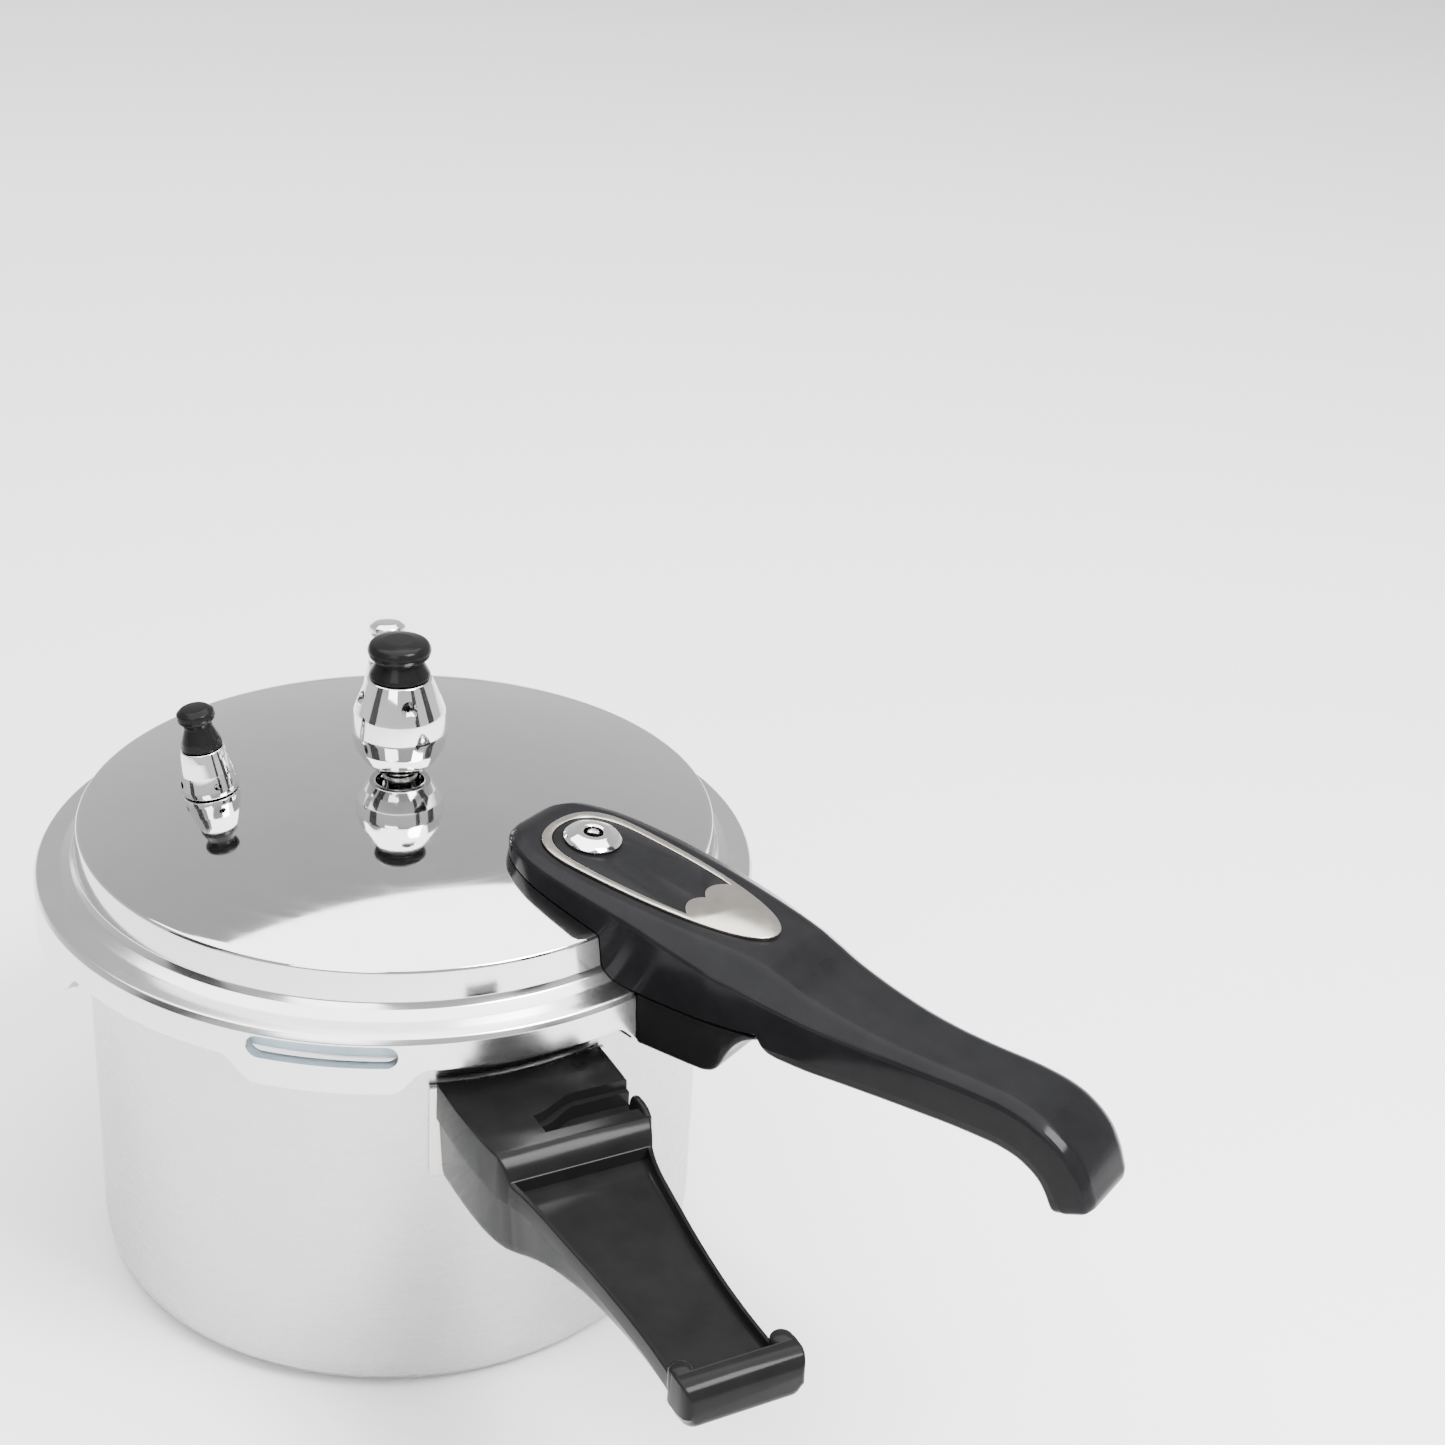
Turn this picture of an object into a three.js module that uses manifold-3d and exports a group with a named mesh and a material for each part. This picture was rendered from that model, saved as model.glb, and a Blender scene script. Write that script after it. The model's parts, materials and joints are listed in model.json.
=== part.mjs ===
// Stove-top pressure cooker with an outer lid: a drawn pot with a long handle, a bayonet lid with a
// matching long handle, a lift-off weight, two spring-loaded safety valves and a pressure indicator.
// Millimetres, +Z up. The origin is the centre of the pot's flat base and +X runs along the pot handle.
// The lid is drawn unlocked, with its handle LID_TURN ahead of the pot handle.

import * as THREE from 'three';
import { mergeVertices } from 'three/addons/utils/BufferGeometryUtils.js';
import Module from 'manifold-3d';

const wasm = await Module();
wasm.setup();

// ---------------------------------------------------------------- driving dimensions
const GAP = 0.3;                  // air left between neighbouring pieces
const ROUND_STEPS = 48;           // facets round the pot, lid and gasket
const SMALL_STEPS = 16;           // facets round small turned pieces

// pot
const POT_INNER_R = 100;
const POT_WALL = 2.5;
const POT_BASE = 4;
const BASE_CORNER_R = 13;
const RIM_Z = 136;                // top of the pot rim, where the gasket sits
const RIM_R = 104.5;
const LUG_COUNT = 6;
const LUG_PITCH = 360 / LUG_COUNT;
const POT_LUG = { inner: 103, outer: 111.5, bottom: 131, halfAngle: 13 };

// lid
const LID_TURN = 28;              // unlocked lid handle, ahead of the pot handle
const LID_SHEET = 2.5;
const DOME_TOP = 172.7;
const DOME_RISE = 13;
const DOME_R = 103.8;
const SKIRT_R = 118;
const SKIRT_INNER_R = 114;
const SKIRT_BOTTOM = 134;
const LID_LUG_BOTTOM = 126;
const LID_LIP = { inner: 106, top: 130, halfAngle: 12 };
const WINDOW = { centre: -60, halfAngle: 11, bottom: 135.2, top: 142.8 };

// valves on the lid
const VENT_HOLE_R = 4.8;
const VALVE_R = 60.8;             // distance of both safety valves from the lid centre
const BLACK_VALVE_ANGLE = -135;   // from the lid handle
const SILVER_VALVE_ANGLE = 135;
const VALVE_HOLE_R = 4.6;
const VALVE_TOP = 15.4;           // top of a valve's barrel above the dome

// lid handle
const HANDLE_PARTING = 144.5;     // upper shell above, lower block below
const TRIM = { x: 106.6, z: 171.65, tilt: 6.4, thick: 1.2 };
const FLOAT = { x: 78, z: 165.35, travel: 5 };
const FLOAT_HOLE_R = 5.3;
const LOCK = { x: 129, tipZ: 119 };
const LID_SCREW_X = 141;

// pot handle
const ROOT_TOP = 120.5;
const POT_SCREW_X = 117;

// ---------------------------------------------------------------- materials
const finish = (name, color, metalness, roughness) =>
  new THREE.MeshStandardMaterial({ name, color, metalness, roughness });

const MATERIAL = {
  satinAluminium: finish('satin_aluminium', 0xc9cac9, 0.9, 0.38),
  polishedAluminium: finish('polished_aluminium', 0xd9dadb, 1.0, 0.12),
  chrome: finish('chrome', 0xe2e2e0, 1.0, 0.06),
  steel: finish('steel', 0xb9b8b4, 1.0, 0.3),
  nickel: finish('satin_nickel', 0xbdb5aa, 1.0, 0.32),
  phenolic: finish('black_phenolic', 0x141414, 0.0, 0.25),
  rubber: finish('grey_silicone', 0x9aa6ae, 0.0, 0.6),
};

// ---------------------------------------------------------------- small tools
const radians = (degrees) => degrees * Math.PI / 180;

/** Closed solid for joining and cutting, from any closed three.js geometry. */
function solid(geometry) {
  const plain = geometry.index ? geometry.toNonIndexed() : geometry.clone();
  plain.deleteAttribute('normal');
  plain.deleteAttribute('uv');
  const merged = mergeVertices(plain, 1e-4);
  return new wasm.Manifold(new wasm.Mesh({
    numProp: 3,
    vertProperties: new Float32Array(merged.attributes.position.array),
    triVerts: new Uint32Array(merged.index.array),
  }));
}

/** Back from a joined or cut solid to a three.js geometry. */
function geometryOf(manifold) {
  const mesh = manifold.getMesh();
  const geometry = new THREE.BufferGeometry();
  geometry.setAttribute('position', new THREE.BufferAttribute(new Float32Array(mesh.vertProperties), 3));
  geometry.setIndex(new THREE.BufferAttribute(new Uint32Array(mesh.triVerts), 1));
  geometry.computeVertexNormals();
  return geometry;
}

/** Turned shape about Z. The profile is [radius, z] pairs, counter-clockwise seen with z up. */
function turned(profile, steps = SMALL_STEPS) {
  const points = profile.map(([r, z]) => new THREE.Vector2(r, z));
  return new THREE.LatheGeometry(points, steps).rotateX(Math.PI / 2);
}

/** Turned ring: a profile that doesn't touch the axis is closed on itself. */
function turnedRing(profile, steps = SMALL_STEPS) {
  return turned([...profile, profile[0]], steps);
}

function rod(radius, z0, z1, steps = SMALL_STEPS) {
  return turned([[0, z0], [radius, z0], [radius, z1], [0, z1]], steps);
}

function box(x0, x1, y0, y1, z0, z1) {
  const geometry = new THREE.BoxGeometry(x1 - x0, y1 - y0, z1 - z0);
  return geometry.translate((x0 + x1) / 2, (y0 + y1) / 2, (z0 + z1) / 2);
}

/** Flat outline in XY, given thickness from z0 to z1. */
function plate(shape, z0, z1, curveSegments = 8) {
  const options = { depth: z1 - z0, bevelEnabled: false, curveSegments };
  return new THREE.ExtrudeGeometry(shape, options).translate(0, 0, z0);
}

function hexNut(acrossCorners, bore, z0, z1) {
  const nut = solid(rod(acrossCorners / 2, z0, z1, 6));
  return geometryOf(nut.subtract(solid(rod(bore, z0 - 1, z1 + 1, 16))));
}

/** Skin over a row of equal outlines. outlines[i] is a list of [u, v]; place(i, u, v) puts it in space. */
function skin(outlines, place) {
  const count = outlines[0].length;
  const positions = [];
  outlines.forEach((outline, i) => outline.forEach(([u, v]) => positions.push(...place(i, u, v).toArray())));
  const index = [];
  for (let i = 0; i < outlines.length - 1; i++) {
    for (let j = 0; j < count; j++) {
      const a = i * count + j;
      const b = i * count + (j + 1) % count;
      index.push(a, b, a + count, b, b + count, a + count);
    }
  }
  const capAt = (ring, outward) => {
    const contour = outlines[ring].map(([u, v]) => new THREE.Vector2(u, v));
    const clockwise = THREE.ShapeUtils.isClockWise(contour);
    for (const face of THREE.ShapeUtils.triangulateShape(contour, [])) {
      const alike = THREE.ShapeUtils.isClockWise(face.map((k) => contour[k])) === clockwise;
      const ordered = alike === outward ? face : [face[0], face[2], face[1]];
      index.push(...ordered.map((k) => ring * count + k));
    }
  };
  capAt(0, false);
  capAt(outlines.length - 1, true);
  const geometry = new THREE.BufferGeometry();
  geometry.setAttribute('position', new THREE.Float32BufferAttribute(positions, 3));
  geometry.setIndex(index);
  return geometry.toNonIndexed();
}

/** Bar along X: each station is [x, outline], with the outline in Y and Z, counter-clockwise from +X. */
function bar(stations) {
  return skin(stations.map((station) => station[1]), (i, y, z) => new THREE.Vector3(stations[i][0], y, z));
}

/** The distance to the facet of a many-sided ring whose corners are at radius r. */
function facetRadius(r, degrees) {
  const pitch = 360 / ROUND_STEPS;
  const fromMiddle = ((degrees % pitch) + pitch) % pitch - pitch / 2;
  return r * Math.cos(radians(pitch / 2)) / Math.cos(radians(fromMiddle));
}

/** Part of a ring about Z: outlineAt(degrees) gives [radius, z] pairs, clockwise seen with z up. */
function ringPart(angles, outlineAt) {
  return skin(angles.map(outlineAt), (i, r, z) => {
    const reach = facetRadius(r, angles[i]);
    const turn = radians(angles[i]);
    return new THREE.Vector3(reach * Math.cos(turn), reach * Math.sin(turn), z);
  });
}

function piece(name, geometry, material) {
  const mesh = new THREE.Mesh(geometry, material);
  mesh.name = name;
  return mesh;
}

function assembly(...children) {
  const group = new THREE.Group();
  group.add(...children);
  return group;
}

// ---------------------------------------------------------------- pot
function arcProfile(centreR, centreZ, radius, fromDegrees, toDegrees, steps) {
  return Array.from({ length: steps + 1 }, (_, k) => {
    const angle = radians(fromDegrees + (toDegrees - fromDegrees) * k / steps);
    return [centreR + radius * Math.cos(angle), centreZ + radius * Math.sin(angle)];
  });
}

function potBody() {
  const outerR = POT_INNER_R + POT_WALL;
  const profile = [
    [0, 0],
    ...arcProfile(outerR - BASE_CORNER_R, BASE_CORNER_R, BASE_CORNER_R, -90, 0, 4),
    [outerR, POT_LUG.bottom - 2],
    [RIM_R, POT_LUG.bottom],
    [RIM_R, RIM_Z],
    [POT_INNER_R, RIM_Z],
    ...arcProfile(outerR - BASE_CORNER_R, BASE_CORNER_R, BASE_CORNER_R - POT_WALL, 0, -62, 3),
    [outerR - BASE_CORNER_R - 4, POT_BASE],
    [0, POT_BASE],
  ];
  let body = solid(turned(profile, ROUND_STEPS));
  for (let k = 0; k < LUG_COUNT; k++) {
    const angles = [-POT_LUG.halfAngle, -7.5, 0, 7.5, POT_LUG.halfAngle].map((a) => a + k * LUG_PITCH);
    const lug = ringPart(angles, () => [
      [POT_LUG.inner, POT_LUG.bottom], [POT_LUG.inner, RIM_Z],
      [POT_LUG.outer, RIM_Z], [POT_LUG.outer, POT_LUG.bottom],
    ]);
    body = body.add(solid(lug));
  }
  return geometryOf(body);
}

function potHandleBracket() {
  const wall = POT_INNER_R + POT_WALL + GAP;
  const plateAngles = [-16, -15, -7.5, 0, 7.5, 15, 16];
  const saddle = ringPart(plateAngles, () => [
    [wall, 86], [wall, 119], [wall + 1.8, 119], [wall + 1.8, 86],
  ]);
  const tongue = box(wall + 0.8, 127, -9, 9, 97, 103);
  const hole = rod(2.4, 90, 110).translate(POT_SCREW_X, 0, 0);
  return geometryOf(solid(saddle).add(solid(tongue)).subtract(solid(hole)));
}

/** Outline across the pot handle: flat top, slightly tapered sides, rounded lower edges. */
function potHandleOutline(halfWidth, top, bottom) {
  const edge = Math.min(3, (top - bottom) / 4);
  return [
    [halfWidth - edge, bottom], [halfWidth, bottom + edge], [halfWidth - 0.6, top - 1],
    [halfWidth - 1.6, top],
    [1.6 - halfWidth, top], [0.6 - halfWidth, top - 1], [-halfWidth, bottom + edge],
    [edge - halfWidth, bottom],
  ];
}

function potHandle() {
  // [distance from the pot axis, half width, top, bottom]
  const outer = [
    [98, 28, ROOT_TOP, 84], [130, 27.4, ROOT_TOP, 84], [142, 25.8, ROOT_TOP, 85.8], [146.5, 24.2, 114.4, 87],
    [152, 22.4, 113.4, 89], [165, 20, 112.8, 93.6], [185, 17.6, 112.2, 98], [210, 15.7, 111.8, 100.8],
    [229, 15.5, 111.8, 101.6], [233, 15.9, 111.8, 101.8], [236.5, 17.2, 116.6, 102], [239, 18.2, 118, 102.3],
    [245.5, 18.2, 118, 103.4], [249, 17, 115, 106],
  ];
  const trough = [
    [144, 22.4, 130, 110.6], [152, 20.3, 130, 110], [165, 18, 130, 109.4], [185, 15.6, 130, 108.8],
    [210, 13.8, 130, 108.4], [234.5, 13.8, 130, 108.4],
  ];
  const shell = bar(outer.map(([x, w, top, bottom]) => [x, potHandleOutline(w, top, bottom)]));
  const hollow = bar(trough.map(([x, w, top, floor]) => [x, [[w, floor], [w, top], [-w, top], [-w, floor]]]));
  const wallCopy = rod(POT_INNER_R + POT_WALL + GAP + 1.8 + GAP, 60, 140, ROUND_STEPS);
  // locking socket: open towards the side that the lid handle arrives from, with a sloping inner wall
  const socket = new THREE.Shape([
    new THREE.Vector2(121.5, 40), new THREE.Vector2(136.5, 40), new THREE.Vector2(136.5, -7),
    new THREE.Vector2(125, -7), new THREE.Vector2(121.5, 6),
  ].reverse());
  const tonguePocket = box(96, 127 + GAP, -9 - GAP, 9 + GAP, 97 - GAP, 103 + GAP);
  const screwHole = rod(2.4, 80, 109).translate(POT_SCREW_X, 0, 0);
  const screwHead = rod(4.6, 80, 88.3).translate(POT_SCREW_X, 0, 0);
  let body = solid(shell).subtract(solid(hollow)).subtract(solid(wallCopy));
  body = body.subtract(solid(plate(socket, 112.5, 130)));
  for (const cut of [tonguePocket, screwHole, screwHead]) {
    body = body.subtract(solid(cut));
  }
  return geometryOf(body);
}

/** Pan-head screw, head down, standing at (x, 0). */
function screw(x, headR, headBottom, headTop, shankR, tip) {
  const profile = [[0, headBottom], [headR - 0.6, headBottom], [headR, headTop], [shankR, headTop],
    [shankR, tip - 1], [0, tip]];
  return turned(profile, 16).translate(x, 0, 0);
}

// ---------------------------------------------------------------- lid
const domeZ = (r) => DOME_TOP - DOME_RISE * (r / DOME_R) ** 2;
const domeSteps = [25, 50, 72, 90, DOME_R];

/** Outside of the lid from the axis out to the skirt, as [radius, z], moved out by an offset. */
function lidOutside(offset) {
  const shoulder = [[105, 149.5], [106.5, 147.8], [110, 146.1], [113.3, 145.5], [117.2, 144], [SKIRT_R, 143]];
  return [
    [0, domeZ(0) + offset],
    ...domeSteps.map((r) => [r + (r === DOME_R ? offset : 0), domeZ(r) + offset]),
    ...shoulder.map(([r, z]) => [r + offset, z + offset]),
  ];
}

function lidLug(centre) {
  const end = 15;
  const ogee = [[15, 134], [14, 133.6], [13, 131.8], [12, 128.4], [11, 126.5], [10, LID_LUG_BOTTOM]];
  const half = [...ogee, [7.5, LID_LUG_BOTTOM], [0, LID_LUG_BOTTOM]];
  const edge = [...half.map(([a, z]) => [-a, z]), ...half.slice(0, -1).reverse()];
  const heights = new Map(edge.map(([a, z]) => [a + centre, z]));
  const drop = ringPart(edge.map(([a]) => a + centre), (angle) => {
    const low = heights.get(angle);
    const bevel = low < SKIRT_BOTTOM ? 1 : 0.5;
    return [[SKIRT_INNER_R, low], [SKIRT_INNER_R, 135], [SKIRT_R, 135], [SKIRT_R, low + bevel],
      [SKIRT_R - bevel, low]];
  });
  const lipAngles = [-LID_LIP.halfAngle, -7.5, 0, 7.5, LID_LIP.halfAngle].map((a) => a + centre);
  const lip = ringPart(lipAngles, (angle) => {
    const bottom = Math.abs(angle - centre) > 10 ? 128.6 : LID_LUG_BOTTOM;
    return [[LID_LIP.inner, bottom], [LID_LIP.inner, LID_LIP.top], [SKIRT_INNER_R + 1, LID_LIP.top],
      [SKIRT_INNER_R + 1, bottom]];
  });
  return solid(drop).add(solid(lip));
}

function lidShell() {
  const under = [
    [SKIRT_INNER_R, SKIRT_BOTTOM], [SKIRT_INNER_R, 141.8], [105, 142.4], [102.4, 147], [101.3, 157.2],
    ...domeSteps.slice(0, -1).reverse().map((r) => [r, domeZ(r) - LID_SHEET]),
    [0, domeZ(0) - LID_SHEET],
  ];
  const outside = [...lidOutside(0).reverse()];
  const profile = [...under.reverse(), [SKIRT_R, SKIRT_BOTTOM], ...outside];
  let body = solid(turned(profile, ROUND_STEPS));
  for (let k = 0; k < LUG_COUNT; k++) {
    body = body.add(lidLug(k * LUG_PITCH));
  }
  const windowAngles = [-WINDOW.halfAngle, -7.5, 0, 7.5, WINDOW.halfAngle].map((a) => a + WINDOW.centre);
  const opening = ringPart(windowAngles, () => [
    [110, WINDOW.bottom], [110, WINDOW.top], [125, WINDOW.top], [125, WINDOW.bottom],
  ]);
  const holes = [
    solid(opening),
    solid(rod(VENT_HOLE_R, 160, 180)),
    solid(rod(FLOAT_HOLE_R, -12, 12).applyMatrix4(floatFrame().matrix)),
    ...[BLACK_VALVE_ANGLE, SILVER_VALVE_ANGLE].map((angle) =>
      solid(rod(VALVE_HOLE_R, -12, 12).applyMatrix4(valveFrame(angle).matrix))),
  ];
  for (const hole of holes) {
    body = body.subtract(hole);
  }
  return geometryOf(body);
}

function gasket() {
  // rests on the pot rim and fills the lid's channel, with a pressure groove on the inside
  const low = RIM_Z + GAP;
  const high = 141.8 - GAP;
  return turnedRing([
    [101, low], [113.4, low], [113.4, high], [105.6, high], [102.6, high], [103.6, (low + high) / 2],
  ], ROUND_STEPS);
}

// ---------------------------------------------------------------- vent and weight
function ventPipe() {
  return turnedRing([
    [1.5, 161], [4, 161], [4, 172.7 + GAP], [5.75, 172.7 + GAP], [5.75, 175], [4, 175.6], [4, 194],
    [2.6, 197],
    [1.5, 197],
  ]);
}

function weightShell() {
  const shell = turnedRing([
    [8, 175.6], [10.4, 175.6], [12.5, 178.6], [14.9, 182.6], [15.8, 185.6], [16, 188.6], [15.7, 192],
    [14.7, 195.5], [12.5, 201], [10.2, 206.6], [3.4, 206.6], [3.4, 203.4], [8.4, 203.4], [11, 198],
    [12.9, 193],
    [13.2, 188.6], [12.2, 183.4], [8, 178.6],
  ], 24);
  let body = solid(shell);
  for (let k = 0; k < 4; k++) {
    const vent = rod(2, 0, 20, 12).rotateY(Math.PI / 2).translate(0, 0, 200.6).rotateZ(radians(90 * k - 35));
    body = body.subtract(solid(vent));
  }
  return geometryOf(body);
}

function weightKnob() {
  return turned([
    [0, 213.2], [3.5, 213.2], [3.5, 206.9], [10.2, 206.9], [7.5, 213], [9.4, 213.6], [10.3, 215.2],
    [10.2, 216.8], [8.6, 218.5], [5, 219.3], [0, 219.5],
  ], 24);
}

function weightNeedle() {
  return turned([
    [0, 197.4], [1.2, 198.4], [2.4, 200.6], [4.6, 200.8], [4.6, 203.1], [3.1, 203.1], [3.1, 212.9],
    [0, 212.9],
  ], 16);
}

// ---------------------------------------------------------------- safety valves
/** A frame standing on the dome, with its Z along the dome's normal. */
function valveFrame(angle) {
  const frame = new THREE.Group();
  const slope = Math.atan(2 * DOME_RISE * VALVE_R / DOME_R ** 2);
  frame.position.set(VALVE_R * Math.cos(radians(angle)), VALVE_R * Math.sin(radians(angle)), domeZ(VALVE_R));
  frame.rotation.set(0, slope, radians(angle), 'ZYX');
  frame.updateMatrix();
  return frame;
}

function valveBody() {
  const barrel = turnedRing([
    [1.8, -9], [4.2, -9], [4.2, GAP], [9.3, GAP], [9.1, 3], [8.5, 8], [7.6, 12.5], [6.9, VALVE_TOP],
    [5.4, VALVE_TOP], [5.4, 2.4], [1.8, 2.4],
  ]);
  let body = solid(barrel);
  for (let k = 0; k < 4; k++) {
    const port = rod(1.2, 4, 12, 8).rotateY(Math.PI / 2).translate(0, 0, 4).rotateZ(radians(90 * k));
    body = body.subtract(solid(port));
  }
  return geometryOf(body);
}

function valveCap(neckR, capR, coneR) {
  const seat = VALVE_TOP + GAP;
  return turned([
    [0, seat - 1.5], [5.1, seat - 1.5], [5.1, seat], [coneR, seat], [neckR, 25], [capR - 0.4, 25.2],
    [capR, 26.2], [capR - 0.1, 28], [capR * 0.75, 29.3], [0, 29.8],
  ]);
}

function valvePlunger() {
  return turned([
    [0, 2.7], [4.6, 2.7], [4.6, 4.6], [2, 4.6], [2, 8], [0, 8.4],
  ], 16);
}

/** Compression spring round the Z axis, with flat-wound ends left off. */
function coilSpring(coilR, wireR, z0, z1, turns, sides = 4) {
  class Helix extends THREE.Curve {
    getPoint(t, target = new THREE.Vector3()) {
      const turn = 2 * Math.PI * turns * t;
      return target.set(coilR * Math.cos(turn), coilR * Math.sin(turn), z0 + (z1 - z0) * t);
    }
  }
  const section = new THREE.Shape();
  for (let k = 0; k < sides; k++) {
    const turn = 2 * Math.PI * k / sides;
    const corner = [wireR * Math.cos(turn), wireR * Math.sin(turn)];
    if (k === 0) section.moveTo(...corner);
    else section.lineTo(...corner);
  }
  section.closePath();
  return new THREE.ExtrudeGeometry(section, { extrudePath: new Helix(), steps: Math.round(turns * 8) });
}

function safetyValve(prefix, angle, capMaterial, cap) {
  const frame = valveFrame(angle);
  const washer = turnedRing([[4.5, -4.2], [8, -4.2], [8, -LID_SHEET - GAP], [4.5, -LID_SHEET - GAP]]);
  frame.add(
    piece(`${prefix}_valve_body`, valveBody(), MATERIAL.chrome),
    piece(`${prefix}_valve_cap`, valveCap(cap.neckR, cap.capR, cap.coneR), capMaterial),
    piece(`${prefix}_valve_plunger`, valvePlunger(), MATERIAL.steel),
    piece(`${prefix}_valve_spring`, coilSpring(3.6, 0.45, 5.35, 13.45, 4), MATERIAL.steel),
    piece(`${prefix}_valve_washer`, washer, MATERIAL.rubber),
    piece(`${prefix}_valve_nut`, hexNut(15, 4.5, -8.6, -4.2 - GAP), MATERIAL.steel),
  );
  return frame;
}

// ---------------------------------------------------------------- lid handle
/** The tilted plane that the trim plate, its insert and the indicator share. */
function trimFrame() {
  const frame = new THREE.Group();
  frame.position.set(TRIM.x, 0, TRIM.z);
  frame.rotation.y = radians(TRIM.tilt);
  frame.updateMatrix();
  return frame;
}

/** Frame of the indicator pin: through the lid, at right angles to the trim plate. */
function floatFrame() {
  const frame = new THREE.Group();
  frame.position.set(FLOAT.x, 0, FLOAT.z);
  frame.rotation.y = radians(TRIM.tilt);
  frame.updateMatrix();
  return frame;
}

/** Outline across the lid handle: flat crown, sloping shoulders, near-upright sides. */
function lidHandleOutline(side, edgeZ, crown, crownZ, bottom) {
  const half = [[side - 1.5, bottom], [side, bottom + 1.5], [side, edgeZ - 1], [side - 0.8, edgeZ], [crown, crownZ]];
  return [...half, ...half.map(([y, z]) => [-y, z]).reverse()];
}

function lidHandleTop() {
  const crownOnPlate = (x) => TRIM.z - (x - TRIM.x) * Math.tan(radians(TRIM.tilt)) - TRIM.thick - GAP;
  // [distance from the lid axis, half width, edge height, crown half width, crown height, underside]
  const stations = [
    [52.6, 7, 171.4, 3, 172.4, 150], [55, 12, 172.8, 7, 174.6, 150],
    [60, 17, 173.8, 12, crownOnPlate(60), 150],
    [68, 21, 173.6, 16.4, crownOnPlate(68), 150], [80, 23.8, 172.4, 18.6, crownOnPlate(80), 148],
    [97, 25, 170.2, 19, crownOnPlate(97), 148], [116, 25.4, 166.6, 18.8, crownOnPlate(116), HANDLE_PARTING],
    [136, 25.4, 162.6, 17.6, crownOnPlate(136), HANDLE_PARTING],
    [150, 23.8, 158.8, 15.6, crownOnPlate(150) - 0.6, HANDLE_PARTING],
    [156.8, 22.3, 157, 14.8, 163.2, HANDLE_PARTING], [161, 21.4, 155.8, 14.4, 161.6, 138.8],
    [172, 19.2, 153.4, 13.6, 157.8, 136.6], [184, 17, 151.8, 12.4, 155, 135.8],
    [196, 15.2, 150.4, 11.2, 153.2, 135.2],
    [208, 14, 149.8, 10.2, 152.2, 134.8], [220, 13.4, 149.6, 9.8, 151.8, 134.8],
    [232, 13.5, 149.4, 9.8, 151.5, 134.8],
    [240, 13.9, 148.8, 10, 150.6, 133], [246, 14.2, 147, 10.2, 148.8, 129.4],
    [250, 14.3, 145, 10.3, 146.6, 124], [254, 14.2, 141.6, 10.3, 143, 121.2],
    [259, 13.9, 134.8, 10.2, 136.2, 121.2],
    [262.4, 13.4, 129.6, 9.8, 130.8, 122.4], [264, 12.4, 127, 8.6, 127.8, 123.6],
  ];
  const shell = bar(stations.map(([x, ...rest]) => [x, lidHandleOutline(...rest)]));
  const lidCopy = turned([[0, 100], [SKIRT_R + 0.6, 100], ...lidOutside(0.6).reverse()], ROUND_STEPS);
  const bracketSlot = box(104, 146.6, -12.4, 12.4, 148, 150.7);
  const bracketLeg = box(104, 108.9, -12.4, 12.4, 148, 158.6);
  const screwHole = rod(2.2, 140, 159).translate(LID_SCREW_X, 0, 0);
  const floatWell = rod(6.4, -6, 6.4).applyMatrix4(floatFrame().matrix);
  const floatBore = rod(3.6, 0, 30).applyMatrix4(floatFrame().matrix);
  let body = solid(shell);
  const springSeat = rod(5, 140, 145.4 + GAP).translate(LOCK.x, 0, 0);
  for (const cut of [lidCopy, bracketSlot, bracketLeg, screwHole, floatWell, floatBore, springSeat]) {
    body = body.subtract(solid(cut));
  }
  return geometryOf(body);
}

function lidHandleBase() {
  const outline = (w, top, bottom) => [
    [w - 1.5, bottom], [w, bottom + 1.5], [w, top], [-w, top], [-w, bottom + 1.5], [1.5 - w, bottom],
  ];
  const top = HANDLE_PARTING - GAP;
  const stations = [
    [112, 24.4, 126.2], [141, 24.2, 126.2], [146, 23.4, 127.8], [149.6, 22.4, 132.6], [152.4, 21.8, 138.4],
    [156, 21, 142],
  ];
  const block = bar(stations.map(([x, w, bottom]) => [x, outline(w, top, bottom)]));
  const skirtCopy = rod(SKIRT_R + 0.6, 120, 150, ROUND_STEPS);
  const cuts = [
    skirtCopy,
    rod(3.3, 120, 150).translate(LOCK.x, 0, 0),
    rod(5, 133, 150).translate(LOCK.x, 0, 0),
    rod(2.2, 120, 150).translate(LID_SCREW_X, 0, 0),
    rod(4.4, 120, 133.4).translate(LID_SCREW_X, 0, 0),
  ];
  let body = solid(block);
  for (const cut of cuts) {
    body = body.subtract(solid(cut));
  }
  return geometryOf(body);
}

function lidHandleBracket() {
  const tongue = box(106.5, 146, -12, 12, 148.3, 150.3);
  const leg = box(106.5, 108.5, -12, 12, 149, 158.2);
  const hole = rod(2.2, 140, 159).translate(LID_SCREW_X, 0, 0);
  return geometryOf(solid(tongue).add(solid(leg)).subtract(solid(hole)));
}

function lockPin() {
  const headBottom = 133 + GAP;
  return turned([
    [0, LOCK.tipZ], [1.6, LOCK.tipZ], [3, LOCK.tipZ + 2], [3, headBottom], [4.6, headBottom],
    [4.6, headBottom + 2], [0, headBottom + 2],
  ], 16).translate(LOCK.x, 0, 0);
}

/** Long oval of the trim plate in its own plane: broad round nose, pointed outer end. */
function trimOval(inset) {
  const shape = new THREE.Shape();
  const nose = -42.3 + inset;
  const tip = 42.4 - inset * 1.3;
  const wide = 16.8 - inset;
  shape.moveTo(nose, 0);
  shape.bezierCurveTo(nose, -wide * 0.78, nose + 8, -wide, nose + 20, -wide);
  shape.bezierCurveTo(nose + 50, -wide, tip, -wide * 0.72, tip, 0);
  shape.bezierCurveTo(tip, wide * 0.72, nose + 50, wide, nose + 20, wide);
  shape.bezierCurveTo(nose + 8, wide, nose, wide * 0.78, nose, 0);
  return shape;
}

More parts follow.
